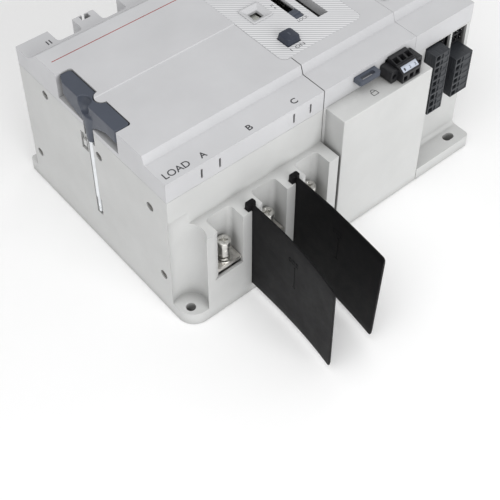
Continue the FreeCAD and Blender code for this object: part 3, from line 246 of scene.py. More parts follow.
WEAR_WIDTH = {"switch_housing": 0.8, "switch_cover": 0.8, "drive_housing": 0.8, "drive_cover": 0.7,
              "control_housing": 0.8, "control_cover": 0.7}


def dress(obj, slot):
    """The look of one slot, put on the object's mesh."""
    obj.data.materials.clear()
    obj.data.materials.append(MAT[slot])
    return obj


def soften(obj, width, angle=38.0, segments=2):
    """Merged vertices, clean flat faces and rounded edges."""
    obj.data.shade_smooth()
    weld = obj.modifiers.new("weld", "WELD")
    weld.merge_threshold = 0.000002
    flat = obj.modifiers.new("flat", "DECIMATE")
    flat.decimate_type = "DISSOLVE"
    flat.angle_limit = math.radians(0.6)
    if width:
        bev = obj.modifiers.new("bevel", "BEVEL")
        bev.width = width * MM
        bev.segments = segments
        bev.limit_method = "ANGLE"
        bev.angle_limit = math.radians(angle)
        bev.miter_outer = "MITER_ARC"
        bev.harden_normals = True
        bev.use_clamp_overlap = True
    weighted = obj.modifiers.new("weighted", "WEIGHTED_NORMAL")
    weighted.keep_sharp = True
    weighted.weight = 60
    return obj


for node, obj in frame["nodes"].items():
    dress(obj, SLOT_OF[node])
    soften(obj, WEAR_WIDTH.get(node, 0.25))


# ------------------------------------------------------------------ mesh helpers
def mesh_object(name, verts, faces):
    """A new object from corner-based millimetre vertices."""
    mesh = bpy.data.meshes.new(name)
    mesh.from_pydata([P(*v) for v in verts], [], faces)
    mesh.validate()
    obj = bpy.data.objects.new(name, mesh)
    bpy.context.collection.objects.link(obj)
    fix_normals(obj)
    return obj


def fix_normals(obj):
    bm = bmesh.new()
    bm.from_mesh(obj.data)
    bmesh.ops.remove_doubles(bm, verts=bm.verts, dist=0.000001)
    bmesh.ops.recalc_face_normals(bm, faces=bm.faces)
    bm.to_mesh(obj.data)
    bm.free()


def apply_modifiers(obj):
    deps = bpy.context.evaluated_depsgraph_get()
    mesh = bpy.data.meshes.new_from_object(obj.evaluated_get(deps))
    old = obj.data
    obj.modifiers.clear()
    obj.data = mesh
    bpy.data.meshes.remove(old)
    return obj


def boolean(obj, cutters, operation="DIFFERENCE"):
    for cutter in cutters:
        mod = obj.modifiers.new("bool", "BOOLEAN")
        mod.operation = operation
        mod.solver = "EXACT"
        mod.object = cutter
    bpy.context.view_layer.update()
    apply_modifiers(obj)
    for cutter in cutters:
        bpy.data.objects.remove(cutter)
    return obj


def merge(name, objs):
    """One object from several, which are removed."""
    bm = bmesh.new()
    for o in objs:
        part = o.data.copy()
        part.transform(o.matrix_world)
        bm.from_mesh(part)
    mesh = bpy.data.meshes.new(name)
    bm.to_mesh(mesh)
    bm.free()
    for o in objs:
        bpy.data.objects.remove(o)
    obj = bpy.data.objects.new(name, mesh)
    bpy.context.collection.objects.link(obj)
    return obj


def place(obj, slot, body, replaced=(), bevel=0.0, segments=2, angle=35.0, sharp=40.0):
    """Finish, slot, rounded edges and body of a piece."""
    dress(obj, slot)
    obj.data.shade_smooth()
    obj.data.set_sharp_from_angle(angle=math.radians(sharp))
    if bevel:
        mod = obj.modifiers.new("bevel", "BEVEL")
        mod.width = bevel * MM
        mod.segments = segments
        mod.limit_method = "ANGLE"
        mod.angle_limit = math.radians(angle)
        mod.harden_normals = True
    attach(obj, body)
    if replaced:
        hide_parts(*replaced)
    return obj


def block(name, x0, x1, y0, y1, z0, z1):
    """A rectangular block."""
    verts = [(x, y, z) for z in (z0, z1) for x, y in ((x0, y0), (x1, y0), (x1, y1), (x0, y1))]
    faces = [(3, 2, 1, 0), (4, 5, 6, 7), (0, 1, 5, 4), (1, 2, 6, 5), (2, 3, 7, 6), (3, 0, 4, 7)]
    return mesh_object(name, verts, faces)


def loft(name, rings):
    """A closed skin through rings of equal length, with flat ends."""
    n = len(rings[0])
    verts = [v for ring in rings for v in ring]
    faces = []
    for k in range(len(rings) - 1):
        for i in range(n):
            j = (i + 1) % n
            faces.append((k * n + i, k * n + j, (k + 1) * n + j, (k + 1) * n + i))
    faces.append(tuple(range(n))[::-1])
    faces.append(tuple((len(rings) - 1) * n + i for i in range(n)))
    return mesh_object(name, verts, faces)


def lathe(name, cx, cy, profile, n=40):
    """A turned solid about a vertical line from (radius, z) pairs."""
    rings = []
    for r, z in profile:
        rings.append([(cx + r * math.cos(2 * math.pi * i / n), cy + r * math.sin(2 * math.pi * i / n), z)
                      for i in range(n)])
    return loft(name, rings)


def round_rect(x0, x1, y0, y1, r, n=5):
    """The outline of a rectangle with round corners."""
    pts = []
    corners = ((x1 - r, y1 - r, 0), (x0 + r, y1 - r, 90), (x0 + r, y0 + r, 180), (x1 - r, y0 + r, 270))
    for cx, cy, a0 in corners:
        for i in range(n + 1):
            a = math.radians(a0 + 90 * i / n)
            pts.append((cx + r * math.cos(a), cy + r * math.sin(a)))
    return pts


def prism(name, outline, z0, z1):
    """An (x, y) outline raised from z0 to z1."""
    return loft(name, [[(x, y, z) for x, y in outline] for z in (z0, z1)])


def prism_x(name, outline, x0, x1):
    """A (y, z) outline drawn out from x0 to x1."""
    return loft(name, [[(x, y, z) for y, z in outline] for x in (x0, x1)])


def terraced(name, us, vs, depth, back, spot):
    """A block whose face is a grid of cells sunk to depth(i, j). spot(u, v, w) gives a place in mm."""
    bm = bmesh.new()
    nu, nv = len(us) - 1, len(vs) - 1

    def cell(i, j):
        return depth(i, j) if 0 <= i < nu and 0 <= j < nv else back

    def quad(a, b, c, d):
        bm.faces.new([bm.verts.new(P(*spot(*p))) for p in (a, b, c, d)])

    for i in range(nu):
        for j in range(nv):
            u0, u1, v0, v1 = us[i], us[i + 1], vs[j], vs[j + 1]
            for w in (cell(i, j), back):
                quad((u0, v0, w), (u1, v0, w), (u1, v1, w), (u0, v1, w))
    for i in range(nu + 1):
        for j in range(nv):
            w0, w1 = cell(i - 1, j), cell(i, j)
            if w0 != w1:
                quad((us[i], vs[j], w0), (us[i], vs[j + 1], w0), (us[i], vs[j + 1], w1), (us[i], vs[j], w1))
    for i in range(nu):
        for j in range(nv + 1):
            w0, w1 = cell(i, j - 1), cell(i, j)
            if w0 != w1:
                quad((us[i], vs[j], w0), (us[i + 1], vs[j], w0), (us[i + 1], vs[j], w1), (us[i], vs[j], w1))
    bmesh.ops.remove_doubles(bm, verts=bm.verts, dist=0.000001)
    bmesh.ops.recalc_face_normals(bm, faces=bm.faces)
    mesh = bpy.data.meshes.new(name)
    bm.to_mesh(mesh)
    bm.free()
    obj = bpy.data.objects.new(name, mesh)
    bpy.context.collection.objects.link(obj)
    return obj


def lettering(name, text, x0, x1, y, z, slot, body, tall=None, offset=0.0):
    """Flat printed letters from x0 to x1, standing on the line y."""
    data = bpy.data.curves.new(name, "FONT")
    data.body = text
    data.size = 0.01
    data.extrude = 0.000012
    data.offset = offset
    data.resolution_u = 6
    src = bpy.data.objects.new(name + "_src", data)
    bpy.context.collection.objects.link(src)
    bpy.context.view_layer.update()
    mesh = bpy.data.meshes.new_from_object(src.evaluated_get(bpy.context.evaluated_depsgraph_get()))
    bpy.data.objects.remove(src)
    xs = [v.co.x for v in mesh.vertices]
    ys = [v.co.y for v in mesh.vertices]
    kx = (x1 - x0) * MM / (max(xs) - min(xs))
    ky = tall * MM / (max(ys) - min(ys)) if tall else kx
    base = P(x0, y, z)
    for v in mesh.vertices:
        v.co = Vector((base.x + (v.co.x - min(xs)) * kx, base.y + (v.co.y - min(ys)) * ky,
                       base.z + v.co.z + 0.000012))
    obj = bpy.data.objects.new(name, mesh)
    bpy.context.collection.objects.link(obj)
    return place(obj, slot, body)


# ------------------------------------------------------------------ phase barriers
# number, root X, bow of the top and bottom corners, power of the curve
BARRIERS = ((1, 72.5, -9.0, -7.8, 2.6), (2, 122.5, -3.0, -8.2, 1.9))
BARRIER_REACH, BARRIER_Z0, BARRIER_Z1 = 111.0, 10.0, 117.0
BARRIER_HALF = 1.25
BARRIER_CORNER = 3.0
BEAD_Y0 = 2.6               # where the sheet enters its bead


def sheet_offset(y, z, top, bottom, power):
    """How far the bowed sheet stands off its root plane at (y, z)."""
    t = min(1.0, max(0.0, -y / BARRIER_REACH))
    k = (z - BARRIER_Z0) / (BARRIER_Z1 - BARRIER_Z0)
    return (bottom + (top - bottom) * k) * t ** power


def barrier(number, root, top, bottom, power):
    """A bowed and slightly twisted sheet with rolled edges, a T bead and a raised arrow."""
    ny, nz = 44, 24
    left, right = [], []
    for i in range(ny + 1):
        if i < 40:
            y = BEAD_Y0 - (BARRIER_REACH + BEAD_Y0) * i / ny
        else:
            y = -BARRIER_REACH + BARRIER_CORNER * ((ny - i) / 4.0) ** 2
        z_top = BARRIER_Z1 - max(0.0, (-y - 45.0)) / 66.0 * 4.6
        edge = min(1.0, (ny - i) * 0.9 + 0.35)
        into = min(1.0, (BARRIER_REACH + y) / BARRIER_CORNER)
        cut = BARRIER_CORNER * (1.0 - math.sqrt(max(0.0, 1.0 - (1.0 - into) ** 2)))
        for j in range(nz + 1):
            z = BARRIER_Z0 + cut + (z_top - BARRIER_Z0 - 2 * cut) * j / nz
            off = sheet_offset(y, z, top, bottom, power)
            rim = min(edge, 0.55 if j in (0, nz) else 1.0)
            left.append((root + off - BARRIER_HALF * rim, y, z))
            right.append((root + off + BARRIER_HALF * rim, y, z))
    n = len(left)
    faces = []

    def at(i, j):
        return i * (nz + 1) + j

    for i in range(ny):
        for j in range(nz):
            a, b, c, d = at(i, j), at(i + 1, j), at(i + 1, j + 1), at(i, j + 1)
            faces += [(a, b, c, d), (n + d, n + c, n + b, n + a)]
    for i in range(ny):
        for j in (0, nz):
            faces.append((at(i, j), at(i + 1, j), n + at(i + 1, j), n + at(i, j)))
    for j in range(nz):
        for i in (0, ny):
            faces.append((at(i, j), at(i, j + 1), n + at(i, j + 1), n + at(i, j)))
    sheet = mesh_object("sheet", left + right, faces)
    bead = prism("bead", round_rect(root - 4.5, root + 4.5, 1.5, 7.0, 1.3), 60.0, 117.0)
    marks = []
    for side in (-1, 1):
        for y0, y1, z0, z1 in ((-57.0, -55.9, 62.0, 88.0), (-58.2, -54.7, 60.5, 62.0)):
            yc, zc = (y0 + y1) / 2, (z0 + z1) / 2
            x = root + sheet_offset(yc, zc, top, bottom, power)
            x0, x1 = sorted((x + side * 0.9, x + side * 1.62))
            marks.append(block("mark", x0, x1, y0, y1, z0, z1))
        for k in range(3):
            y = -50.5 - 4.4 * k
            x = root + sheet_offset(y, 93.0, top, bottom, power)
            x0, x1 = sorted((x + side * 0.9, x + side * 1.6))
            ring = prism_x("mark", [(y - 1.4, 91.0), (y + 1.4, 91.0), (y + 1.4, 96.0), (y - 1.4, 96.0)],
                           x0, x1)
            hole = prism_x("hole", [(y - 0.7, 91.8), (y + 0.7, 91.8), (y + 0.7, 95.2), (y - 0.7, 95.2)],
                           x0 - 0.5, x1 + 0.5)
            marks.append(boolean(ring, [hole]))
    obj = merge("barrier_sheet_%d" % number, [sheet, bead] + marks)
    place(obj, "barrier_black", "barrier_%d" % number, ["phase_barrier_%d" % number], 0.0, sharp=50)


for row in BARRIERS:
    barrier(*row)


# ------------------------------------------------------------------ stowed handle
def handle():
    """The T grip as one soft moulding, and the zinc rod below it."""
    wings = [(91.2, 181.0), (91.2, 166.0), (108.0, 166.5), (121.0, 161.0), (128.5, 156.0), (142.5, 156.0),
             (150.0, 157.0), (160.0, 160.5), (176.0, 168.0), (180.0, 168.5), (180.0, 181.0)]
    bar = prism_x("bar", wings, 0.2, 15.0)
    chamfer = [(4.2, 180.0), (0.2, 171.5)]
    keep = [p for p in round_rect(0.2, 15.0, 91.2, 180.0, 3.2) if not (p[0] < 3.6 and p[1] > 175.0)]
    index = next(i for i, p in enumerate(keep) if p[0] < 1.0 and p[1] < 100.0)
    plan = keep[:index] + chamfer + keep[index:]
    mask = prism("mask", plan, 150.0, 182.0)
    boolean(bar, [mask], "INTERSECT")
    rings = []
    for z, cx, rx, ry in ((168.0, 4.6, 6.6, 13.0), (163.0, 4.2, 6.4, 10.5), (156.0, 3.6, 5.6, 8.0),
                          (149.0, 3.1, 5.0, 6.2), (142.0, 2.8, 4.7, 5.2), (137.0, 2.7, 4.4, 4.7)):
        rings.append([(cx + rx * math.cos(a), 135.5 + ry * math.sin(a), z)
                      for a in [2 * math.pi * i / 28 for i in range(28)]])
    neck = loft("neck", rings[::-1])
    boolean(bar, [neck], "UNION")
    notch = lathe("notch", 15.9, 133.5, [(7.6, 150.0), (7.6, 190.0)], 40)
    scoop = []
    for k in range(1, 18):
        a = math.pi * k / 18
        scoop.append((8.2 * math.sin(a), 177.0 - 9.5 * math.cos(a)))
    hollow = lathe("hollow", 0.2, 139.5, scoop, 36)
    boolean(bar, [notch, hollow])
    remesh = bar.modifiers.new("remesh", "REMESH")
    remesh.mode = "VOXEL"
    remesh.voxel_size = 0.00042
    smooth = bar.modifiers.new("smooth", "SMOOTH")
    smooth.factor = 0.5
    smooth.iterations = 7
    thin = bar.modifiers.new("thin", "DECIMATE")
    thin.ratio = 0.22
    bpy.context.view_layer.update()
    apply_modifiers(bar)
    grip = merge("grip_moulding", [bar])
    place(grip, "slate_plastic", "handle", ["handle_grip"], sharp=180)

    profile = [(1.2, 43.0), (1.9, 43.5), (2.2, 44.6), (2.2, 47.6), (1.7, 48.2), (1.7, 49.6), (2.3, 50.2),
               (2.3, 62.4), (2.55, 63.4), (3.0, 64.6), (3.0, 96.0), (2.9, 96.2), (2.9, 96.9), (3.0, 97.1),
               (3.0, 131.0), (2.8, 131.3), (2.8, 133.5), (3.0, 133.8), (3.0, 150.0)]
    rod = lathe("rod_shank", 2.2, 135.5, profile, 36)
    place(rod, "rod_zinc", "handle", ["handle_rod"], sharp=40)


handle()


# ------------------------------------------------------------------ terminal hardware
POLE_X = (47.5, 97.5, 147.5)
LOAD_SCREW_Y, SOURCE_SCREW_Y = 10.5, 238.5
LOWER_BAR_TOP, UPPER_BAR_TOP = 57.0, 116.0
SCREW_HEAD_ABOVE_BAR = 24.0
SCREWS = ([(x, LOAD_SCREW_Y, LOWER_BAR_TOP) for x in POLE_X]
          + [(x, SOURCE_SCREW_Y, LOWER_BAR_TOP) for x in POLE_X]
          + [(x, SOURCE_SCREW_Y, UPPER_BAR_TOP) for x in POLE_X])


def threaded_shank(cx, cy, z0, z1, radius, pitch):
    """A shank with a helical thread and a tapered tip."""
    rings, n = [], 20
    steps = int((z1 - z0) / (pitch / 5))
    for k in range(steps + 1):
        z = z0 + (z1 - z0) * k / steps
        ring = []
        for i in range(n):
            phase = ((z - z0) / pitch - i / n) % 1.0
            r = radius - 0.62 * abs(2 * phase - 1)
            taper = min(1.0, 0.75 + (z - z0) / 4.0)
            ring.append((cx + r * taper * math.cos(2 * math.pi * i / n),
                         cy + r * taper * math.sin(2 * math.pi * i / n), z))
        rings.append(ring)
    return loft("shank", rings)


def screw_head(cx, cy, top, turn):
    """A cheese head with a rounded rim and a cross recess."""
    profile = [(3.9, top - 5.6), (6.2, top - 5.5), (6.5, top - 5.1), (6.5, top - 1.3), (6.2, top - 0.5),
               (5.5, top - 0.08), (4.9, top)]
    head = lathe("head", cx, cy, profile, 44)
    cutters = []
    for quarter in range(2):
        a = math.radians(turn + 90 * quarter)
        bar = loft("bar", [[(cx + u * k * math.cos(a) - v * k * math.sin(a),
                             cy + u * k * math.sin(a) + v * k * math.cos(a), z)
                            for u, v in ((-4.1, -0.85), (4.1, -0.85), (4.1, 0.85), (-4.1, 0.85))]
                           for k, z in ((0.62, top - 2.7), (1.0, top + 0.2))])
        cutters.append(bar)
    cutters.append(lathe("cone", cx, cy, [(0.9, top - 3.1), (2.3, top + 0.2)], 16))
    return boolean(head, cutters)


def terminal_hardware():
    screws, flats, springs = [], [], []
    rng = random.Random(5)
    for x, y, bar_top in SCREWS:
        top = bar_top + SCREW_HEAD_ABOVE_BAR
        screws.append(screw_head(x, y, top, rng.uniform(0, 90)))
        collar = [(5.3, top - 18.2), (5.7, top - 17.8), (5.7, top - 9.4), (5.45, top - 9.1),
                  (5.45, top - 8.5), (5.7, top - 8.2), (5.7, top - 5.4)]
        screws.append(lathe("collar", x, y, collar, 40))
        screws.append(threaded_shank(x, y, top - 35.4, top - 18.0, 4.0, 1.25))
        flats.append(ring_solid(x, y, bar_top, 1.6, 8.0, 4.2))
        springs.append(split_ring(x, y, bar_top + 1.6, rng.uniform(0, 360)))
    place(merge("terminal_screw_set", screws), "zinc_steel", "housing", ["terminal_screws"], sharp=35)
    place(merge("flat_washer_set", flats), "zinc_steel", "housing", ["flat_washers"], sharp=35)
    place(merge("spring_washer_set", springs), "zinc_steel", "housing", ["spring_washers"], sharp=35)


def ring_solid(cx, cy, z, t, outer, inner, n=44):
    """A flat washer with broken edges."""
    profile = [(inner, z + 0.15), (inner + 0.15, z), (outer - 0.3, z), (outer, z + 0.3), (outer, z + t - 0.3),
               (outer - 0.3, z + t), (inner + 0.15, z + t), (inner, z + t - 0.15)]
    verts, faces, m = [], [], len(profile)
    for i in range(n):
        a = 2 * math.pi * i / n
        verts += [(cx + r * math.cos(a), cy + r * math.sin(a), zz) for r, zz in profile]
    for i in range(n):
        for j in range(m):
            a, b = i * m, ((i + 1) % n) * m
            faces.append((a + j, b + j, b + (j + 1) % m, a + (j + 1) % m))
    return mesh_object("ring", verts, faces)


# (radius, height) round the section of a spring washer
SPRING_SECTION = ((4.15, 0.1), (4.3, 0.0), (6.5, 0.0), (6.6, 0.15),
                  (6.6, 1.9), (6.5, 2.0), (4.3, 2.0), (4.15, 1.9))


def split_ring(cx, cy, z, turn, n=40):
    """A spring washer cut once, its ends apart by its climb."""
    rings = []
    for i in range(n + 1):
        a = math.radians(turn + 4 + 350.0 * i / n)
        lift = 1.1 * i / n
        ring = []
        for r, dz in SPRING_SECTION:
            ring.append((cx + r * math.cos(a), cy + r * math.sin(a), z + dz * 0.9 + lift))
        rings.append(ring)
    return loft("split", rings)


terminal_hardware()


SIDE_SCREWS_YZ = ((207.0, 140.0), (238.0, 42.0), (124.0, 126.0), (49.0, 125.0), (36.0, 46.0))


def side_screw_heads():
    """The slotted screws sunk in the handle-side end, drawn dark and each on a dark disc: painted shade that
    fills the recess.
    """
    heads = []
    for y, z in SIDE_SCREWS_YZ:
        def disc(radius, x0, x1):
            rings = [[(x, y + r * math.cos(2 * math.pi * i / 28), z + r * math.sin(2 * math.pi * i / 28))
                      for i in range(28)] for x, r in ((x0, radius - 0.3), (x0 + 0.3, radius), (x1, radius))]
            return loft("disc", rings)
        head = disc(3.8, 0.9, 2.0)
        heads.append(boolean(head, [block("slot", 0.0, 1.5, y - 3.0, y + 3.0, z - 0.5, z + 0.5)]))
        heads.append(disc(1.9, 1.9, 18.0))
        # Painted shade: a dark disc just in front of the recess floor stands for the shadow in the dimple.
        heads.append(disc(4.5, 1.55, 1.98))
    # The dark steel of these screws also paints the recess shade.
    place(merge("side_screw_set", heads), "dark_steel", "housing", ["side_screws"], sharp=35)


side_screw_heads()


def gap_shade_strips():
    """Painted shade: dark strips set in the joint between two modules and at the bottom of the handle recess,
    where shadow falls.
    """
    outline = [(26.0, 4.0), (26.0, 169.0), (55.5, 169.5), (58.5, 178.4), (212.0, 178.4), (224.0, 168.0),
               (224.0, 4.0)]
    # Painted shade in the joint between the two modules.
    place(prism_x("module_gap_shade", outline, 173.15, 173.85), "dark_gap", "housing")
    shadow = [block("strip", 15.05, 15.85, 92.5, 125.6, 179.9, 180.1),
              block("strip", 15.05, 15.85, 141.2, 178.8, 179.9, 180.1)]
    place(merge("grip_recess_shadow", shadow), "dark_gap", "housing")


gap_shade_strips()


def serrations():
    """Cross ridges on the free end of each bar, under the washer."""
    rows = []
    for x, y, top in SCREWS:
        front = y < 100
        for k in range(11):
            yy = (2.9 + 1.5 * k) if front else (246.1 - 1.5 * k)
            outline = [(yy, top - 0.2), (yy + 0.75, top + 0.35), (yy + 1.5, top - 0.2)]
            rows.append(prism_x("ridge", outline, x - 12.6, x + 12.6))
    obj = merge("bar_serrations", rows)
    place(obj, "silver_copper", "housing", sharp=20)


serrations()


# ------------------------------------------------------------------ buttons, bezel, plugs
def button(number, side):
    """A slightly domed cap with soft corners on its stem."""
    cx, cy = 188.0, 135.5 + side * 47.3
    rings = []
    for half, z, r in ((7.7, 174.0, 2.2), (7.7, 182.6, 2.2), (7.15, 187.2, 2.4), (5.0, 187.65, 2.0),
                       (2.5, 187.85, 1.0)):
        rings.append([(x, y, z) for x, y in round_rect(cx - half, cx + half, cy - half, cy + half, r, 4)])
    cap = loft("cap", rings)
    post = block("post", cx - 3, cx + 3, cy + side * 4 - 3, cy + side * 4 + 3, 168.5, 174.2)
    flange = block("flange", cx - 9, cx + 9, cy - 7.7, cy + 7.7, 175.2, 177.6)
    obj = merge("button_cap_%d" % number, [cap, post, flange])
    place(obj, "button_plastic", "button_%d" % number, ["button_%d" % number], 0.8, 4, 40.0, 30)
    mark = "I" if number == 1 else "II"
    lettering("button_mark_%d" % number, mark, cx - 0.8 * number, cx + 0.8 * number, cy - 2.2, 187.9,
              "slate_plastic", "button_%d" % number, 4.4)


button(1, -1)
button(2, 1)


def bezel():
    """The raised frame with sloping inner sides round the flag window."""
    cx, cy = 189.0, 135.5
    loops = [(12.0, 180.6), (12.0, 181.9), (11.4, 182.3), (10.4, 182.3), (5.6, 179.0), (5.3, 178.2),
             (5.3, 176.0), (6.6, 176.0), (6.6, 178.4), (10.4, 180.6)]
    verts, faces, n = [], [], 0
    for half, z in loops:
        r = 1.6 if half > 9 else 0.6
        pts = round_rect(cx - half, cx + half, cy - half, cy + half, r, 3)
        n = len(pts)
        verts += [(x, y, z) for x, y in pts]
    m = len(loops)
    for k in range(m):
        for i in range(n):
            j = (i + 1) % n
            a, b = k * n, ((k + 1) % m) * n
            faces.append((a + i, a + j, b + j, b + i))
    obj = mesh_object("window_bezel", verts, faces)
    place(obj, "cover_grey", "housing", sharp=30)
    lettering("flag_mark", "O", 186.4, 191.0, 130.9, 172.0, "ink_green", "rotor", 5.0, 0.0002)


bezel()


def control_plug():
    """The three-way screw plug: ears, ribbed back, wells, label and wire mouths."""
    cx, pitch = 261.25, 7.62
    half = 1.5 * pitch
    y_back = 23.6
    front = [(2.6, 150.3), (2.6, 160.4), (3.2, 161.2), (9.0, 165.2), (12.2, 165.2), (12.2, 166.6),
             (19.4, 168.4), (y_back, 168.4), (y_back, 150.3)]
    body = prism_x("plug", front, cx - half, cx + half)
    cutters = []
    for i in range(3):
        x = cx + (i - 1) * pitch
        cutters.append(block("mouth", x - 2.3, x + 2.3, 1.5, 10.0, 152.4, 157.4))
        cutters.append(block("well", x - 2.7, x + 2.7, 12.9, 19.0, 159.0, 172.0))
    boolean(body, cutters)
    ears = []
    for s in (-1, 1):
        xs = sorted((cx + s * (half - 0.2), cx + s * (half + 8.5)))
        outline = round_rect(xs[0], xs[1], 150.3, 163.6, 2.2)
        ear = loft("ear", [[(x, y, z) for x, z in outline] for y in (9.0, y_back)])
        hole = loft("hole", [[(cx + s * (half + 4.3) + 2.5 * math.cos(a), y, 157.2 + 2.5 * math.sin(a))
                              for a in [2 * math.pi * i / 20 for i in range(20)]] for y in (8.0, 14.0)])
        ears.append(boolean(ear, [hole]))
    obj = merge("plug_body", [body] + ears)
    place(obj, "black_plastic", "control_plug", ["control_plug"], 0.35, sharp=35)
    screws = []
    for i in range(3):
        x = cx + (i - 1) * pitch
        head = lathe("s", x, 15.9, [(2.3, 159.5), (2.3, 161.6), (1.9, 162.0)], 20)
        screws.append(boolean(head, [block("slit", x - 2.4, x + 2.4, 15.55, 16.25, 161.2, 163.0)]))
    place(merge("plug_screws", screws), "zinc_steel", "control_plug", sharp=35)
    label = loft("plug_label", [[(cx - 9.6, y, z), (cx + 9.6, y, z), (cx + 9.6, y + 0.12, z + 0.18),
                                 (cx - 9.6, y + 0.12, z + 0.18)] for y, z in ((3.55, 161.35), (8.65, 164.9))])
    place(label, "label_grey", "control_plug")
    for i, mark in enumerate("123"):
        x = cx + (i - 1) * 6.6
        digit = lettering("plug_mark_" + mark, mark, -0.9 + x, 0.9 + x, 4.6, 162.35, "ink",
                          "control_plug", 2.6)
        foot = P(0, 4.6, 162.35)
        tilt = Matrix.Translation(foot) @ Matrix.Rotation(math.radians(34.8), 4, "X")
        digit.data.transform(tilt @ Matrix.Translation(-foot))


control_plug()

STACKS = [((304.2, 323.8), 304.2, z) for z in ((71.5, 88.5), (88.5, 106.0), (106.0, 123.0), (123.0, 146.5))]
STACKS += [((336.3, 359.7), 340.9, z) for z in ((76.0, 108.0), (108.0, 125.0))]


def signal_plug(number, xs, nose_x0, zs):
    """A stacked connector with wire mouths, release tabs and side ribs."""
    x0, x1 = xs
    z0, z1 = zs[0] + 0.3, zs[1] - 0.3
    count = max(2, round((z1 - z0) / 7.6))
    pitch = (z1 - z0) / count
    us = [x0, x0 + 1.4, x0 + 6.8, x0 + 8.2, x0 + 11.0, x0 + 12.4, x1 - 1.6, x1]
    vs = [z0]
    for i in range(count):
        base = z0 + pitch * i
        vs += [base + 1.2, base + pitch - 1.2]
        if i < count - 1:
            vs.append(base + pitch)
    vs.append(z1)
    holes = {1: 3.2, 3: 1.1, 5: 0.55}

    def depth(i, j):
        return holes.get(i, 0.0) if j % 3 == 1 else 0.0

    body = terraced("plug", us, vs, depth, 12.7, lambda u, v, w: (u, 11.0 + w, v))
    nose = block("nose", nose_x0 + 0.1, x1 - 0.1, 23.0, 30.0, z0 + 0.4, z1 - 0.4)
    bits = [body, nose]
    for k in range(4):
        y = 12.6 + 2.9 * k
        bits.append(block("rib", x0 - 0.12, x0 + 0.3, y, y + 1.3, z0 + 1.0, z1 - 1.0))
    for k in range(3):
        xa = x0 + 2.2 + k * (x1 - x0 - 4.4) / 3
        bits.append(block("cap", xa, xa + (x1 - x0 - 4.4) / 3 - 1.2, 12.4, 18.5, z1 - 0.2, z1 + 0.12))
    obj = merge("connector_%d" % number, bits)
    place(obj, "connector_grey", "signal_plug_%d" % number, ["signal_plug_%d" % number], 0.28, 1, sharp=35)


for index, row in enumerate(STACKS, 1):
    signal_plug(index, *row)


def spare_headers():
    """Open headers that show beside and above the plugs."""
    us = [341.2, 343.0, 348.0, 349.4, 354.4, 355.8, 359.6, 361.0]
    vs = [126.0, 128.5, 136.0, 138.0, 145.5, 147.8]
    top = terraced("header", us, vs, lambda i, j: 6.0 if i in (1, 3, 5) and j in (1, 3) else 0.0, 13.0,
                   lambda u, v, w: (u, 28.6 + w, v))
    us = [324.4, 326.0, 329.5, 331.0, 334.5, 336.0, 337.8]
    vs = [72.0 + 5.4 * k + d for k in range(14) for d in (0.0, 3.9)]
    side = terraced("header", us, vs, lambda i, j: 5.0 if i in (1, 3) and j % 2 == 0 and j > 0 else 0.0, 12.0,
                    lambda u, v, w: (u, 29.6 + w, v))
    place(merge("spare_headers", [top, side]), "black_plastic", "housing", bevel=0.2, segments=1)
    pins = []
    for x in (345.5, 351.9, 357.7):
        for z in (132.2, 141.7):
            pins.append(block("pin", x - 0.4, x + 0.4, 27.4, 35.0, z - 0.4, z + 0.4))
    for k in range(13):
        for x in (327.7, 332.7):
            z = 79.3 + 5.4 * k
            if z < 146:
                pins.append(block("pin", x - 0.35, x + 0.35, 28.4, 35.0, z - 0.35, z + 0.35))
    place(merge("header_pins", pins), "zinc_steel", "housing", bevel=0.1, segments=1)


spare_headers()


# ------------------------------------------------------------------ printing
def strip(name, x0, x1, y0, y1, z, slot, body="housing"):
    return place(block(name, x0, x1, y0, y1, z - 0.01, z + 0.03), slot, body)


def printing():
    """Printed marks: generic letters, a stripe and a padlock outline."""
    ledge, field, high = 172.0, 181.0, 182.0
    lettering("mark_load", "LOAD", 4.6, 30.6, 28.6, ledge, "ink", "housing", None, 0.0001)
    for mark, x, w in (("A", 41.0, 6.4), ("B", 91.6, 5.0), ("C", 141.0, 6.2)):
        lettering("mark_" + mark, mark, x, x + w, 28.6, ledge, "ink", "housing", 6.4, 0.0002)
    lettering("mark_button_1", "I  ON", 179.6, 195.4, 73.6, field, "ink", "housing", 4.0)
    lettering("mark_button_2", "II  ON", 178.6, 196.4, 193.6, field, "ink", "housing", 4.0)
    lettering("mark_lock", "LOCK", 211.4, 223.4, 100.4, field, "ink", "housing", 3.2)
    lettering("mark_source", "II", 24.2, 28.6, 231.6, 170.0, "ink", "housing", 6.0)
    strip("stripe", 7.0, 146.0, 197.0, 197.9, high, "ink_red")
    for k, (x, y) in enumerate(((206.9, 128.6), (206.9, 133.2))):
        lettering("mark_small_%d" % k, "AM"[k], x, x + 2.6, y, field, "ink", "housing", 2.8)
    icon = []
    icon.append(boolean(block("body", 219.4, 226.2, 7.6, 12.4, 149.99, 150.03),
                        [block("in", 220.1, 225.5, 8.2, 11.8, 149.5, 150.5)]))
    arc = []
    for i in range(13):
        a = math.pi * i / 12
        arc.append([(222.8 + r * math.cos(a), 12.2 + r * 1.2 * math.sin(a), z)
                    for r, z in ((1.9, 149.99), (2.5, 149.99), (2.5, 150.03), (1.9, 150.03))])
    icon.append(loft("arc", arc))
    place(merge("mark_padlock", icon), "ink", "housing")


printing()


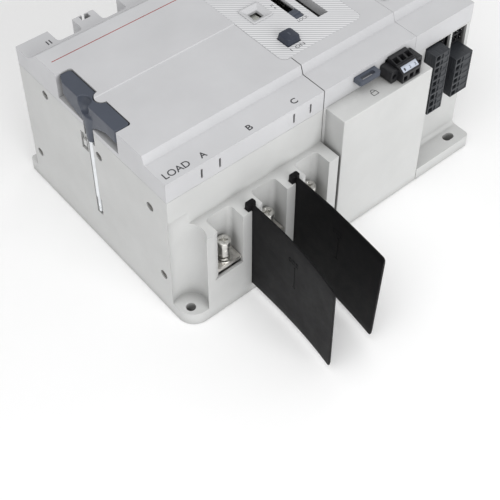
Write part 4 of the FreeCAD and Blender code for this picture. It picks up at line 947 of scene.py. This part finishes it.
# ------------------------------------------------------------------ floor, light, camera
def stage_floor():
    mesh = bpy.data.meshes.new("floor")
    s = 6.0
    mesh.from_pydata([(-s, -s, 0), (s, -s, 0), (s, s, 0), (-s, s, 0)], [], [(0, 1, 2, 3)])
    floor = bpy.data.objects.new("floor", mesh)
    bpy.context.collection.objects.link(floor)
    mat, nt, bsdf = new_material("floor_paper")
    tone = map_range(nt, noise(nt, 4.0, 3.0), 0.3, 0.7, 0.0, 1.0)
    nt.links.new(mix_color(nt, tone, (0.97, 0.97, 0.97), (0.985, 0.985, 0.985)), bsdf.inputs["Base Color"])
    bsdf.inputs["Roughness"].default_value = 0.9
    floor.data.materials.append(mat)
    floor.location.z = -0.0006


def area_light(name, location, target, size, power, color=(1, 1, 1)):
    data = bpy.data.lights.new(name, "AREA")
    data.shape = "RECTANGLE"
    data.size, data.size_y = size
    data.energy = power
    data.color = color
    obj = bpy.data.objects.new(name, data)
    bpy.context.collection.objects.link(obj)
    obj.location = location
    obj.rotation_euler = (Vector(target) - Vector(location)).to_track_quat("-Z", "Y").to_euler()
    return obj


def studio():
    world = bpy.data.worlds.new("studio")
    bpy.context.scene.world = world
    world.use_nodes = True
    bg = world.node_tree.nodes["Background"]
    bg.inputs["Color"].default_value = (1.0, 1.0, 1.0, 1.0)
    bg.inputs["Strength"].default_value = 0.50
    area_light("key", (-0.9, -0.5, 1.7), (0, 0, 0.1), (1.4, 1.4), 15.0)
    area_light("front_fill", (-0.1, -1.9, 0.9), (0, -0.1, 0.1), (1.6, 1.0), 20.0)
    area_light("right_rim", (1.6, 0.6, 1.2), (0, 0, 0.1), (1.0, 1.2), 4.0)


CAMERA_PLACE = (-327.9, -466.5, 814.0)
CAMERA_AZIMUTH, CAMERA_ELEVATION = -39.918, 45.46
LENS = 78.72696             # mm on a 36 mm sensor
LENS_SHIFT = (0.01094, -0.20942)


def camera():
    """A long lens from above the load side and the handle end."""
    azimuth, elevation = math.radians(CAMERA_AZIMUTH), math.radians(CAMERA_ELEVATION)
    data = bpy.data.cameras.new("camera")
    data.sensor_fit = "HORIZONTAL"
    data.sensor_width = 36.0
    data.lens = LENS
    data.shift_x, data.shift_y = LENS_SHIFT
    data.clip_start = 0.01
    data.clip_end = 50.0
    cam = bpy.data.objects.new("camera", data)
    bpy.context.collection.objects.link(cam)
    cam.location = P(*CAMERA_PLACE)
    away = Vector((math.sin(azimuth) * math.cos(elevation), -math.cos(azimuth) * math.cos(elevation),
                   math.sin(elevation)))
    cam.rotation_euler = away.to_track_quat("Z", "Y").to_euler()
    bpy.context.scene.camera = cam


stage_floor()
studio()
camera()
bpy.context.view_layer.update()
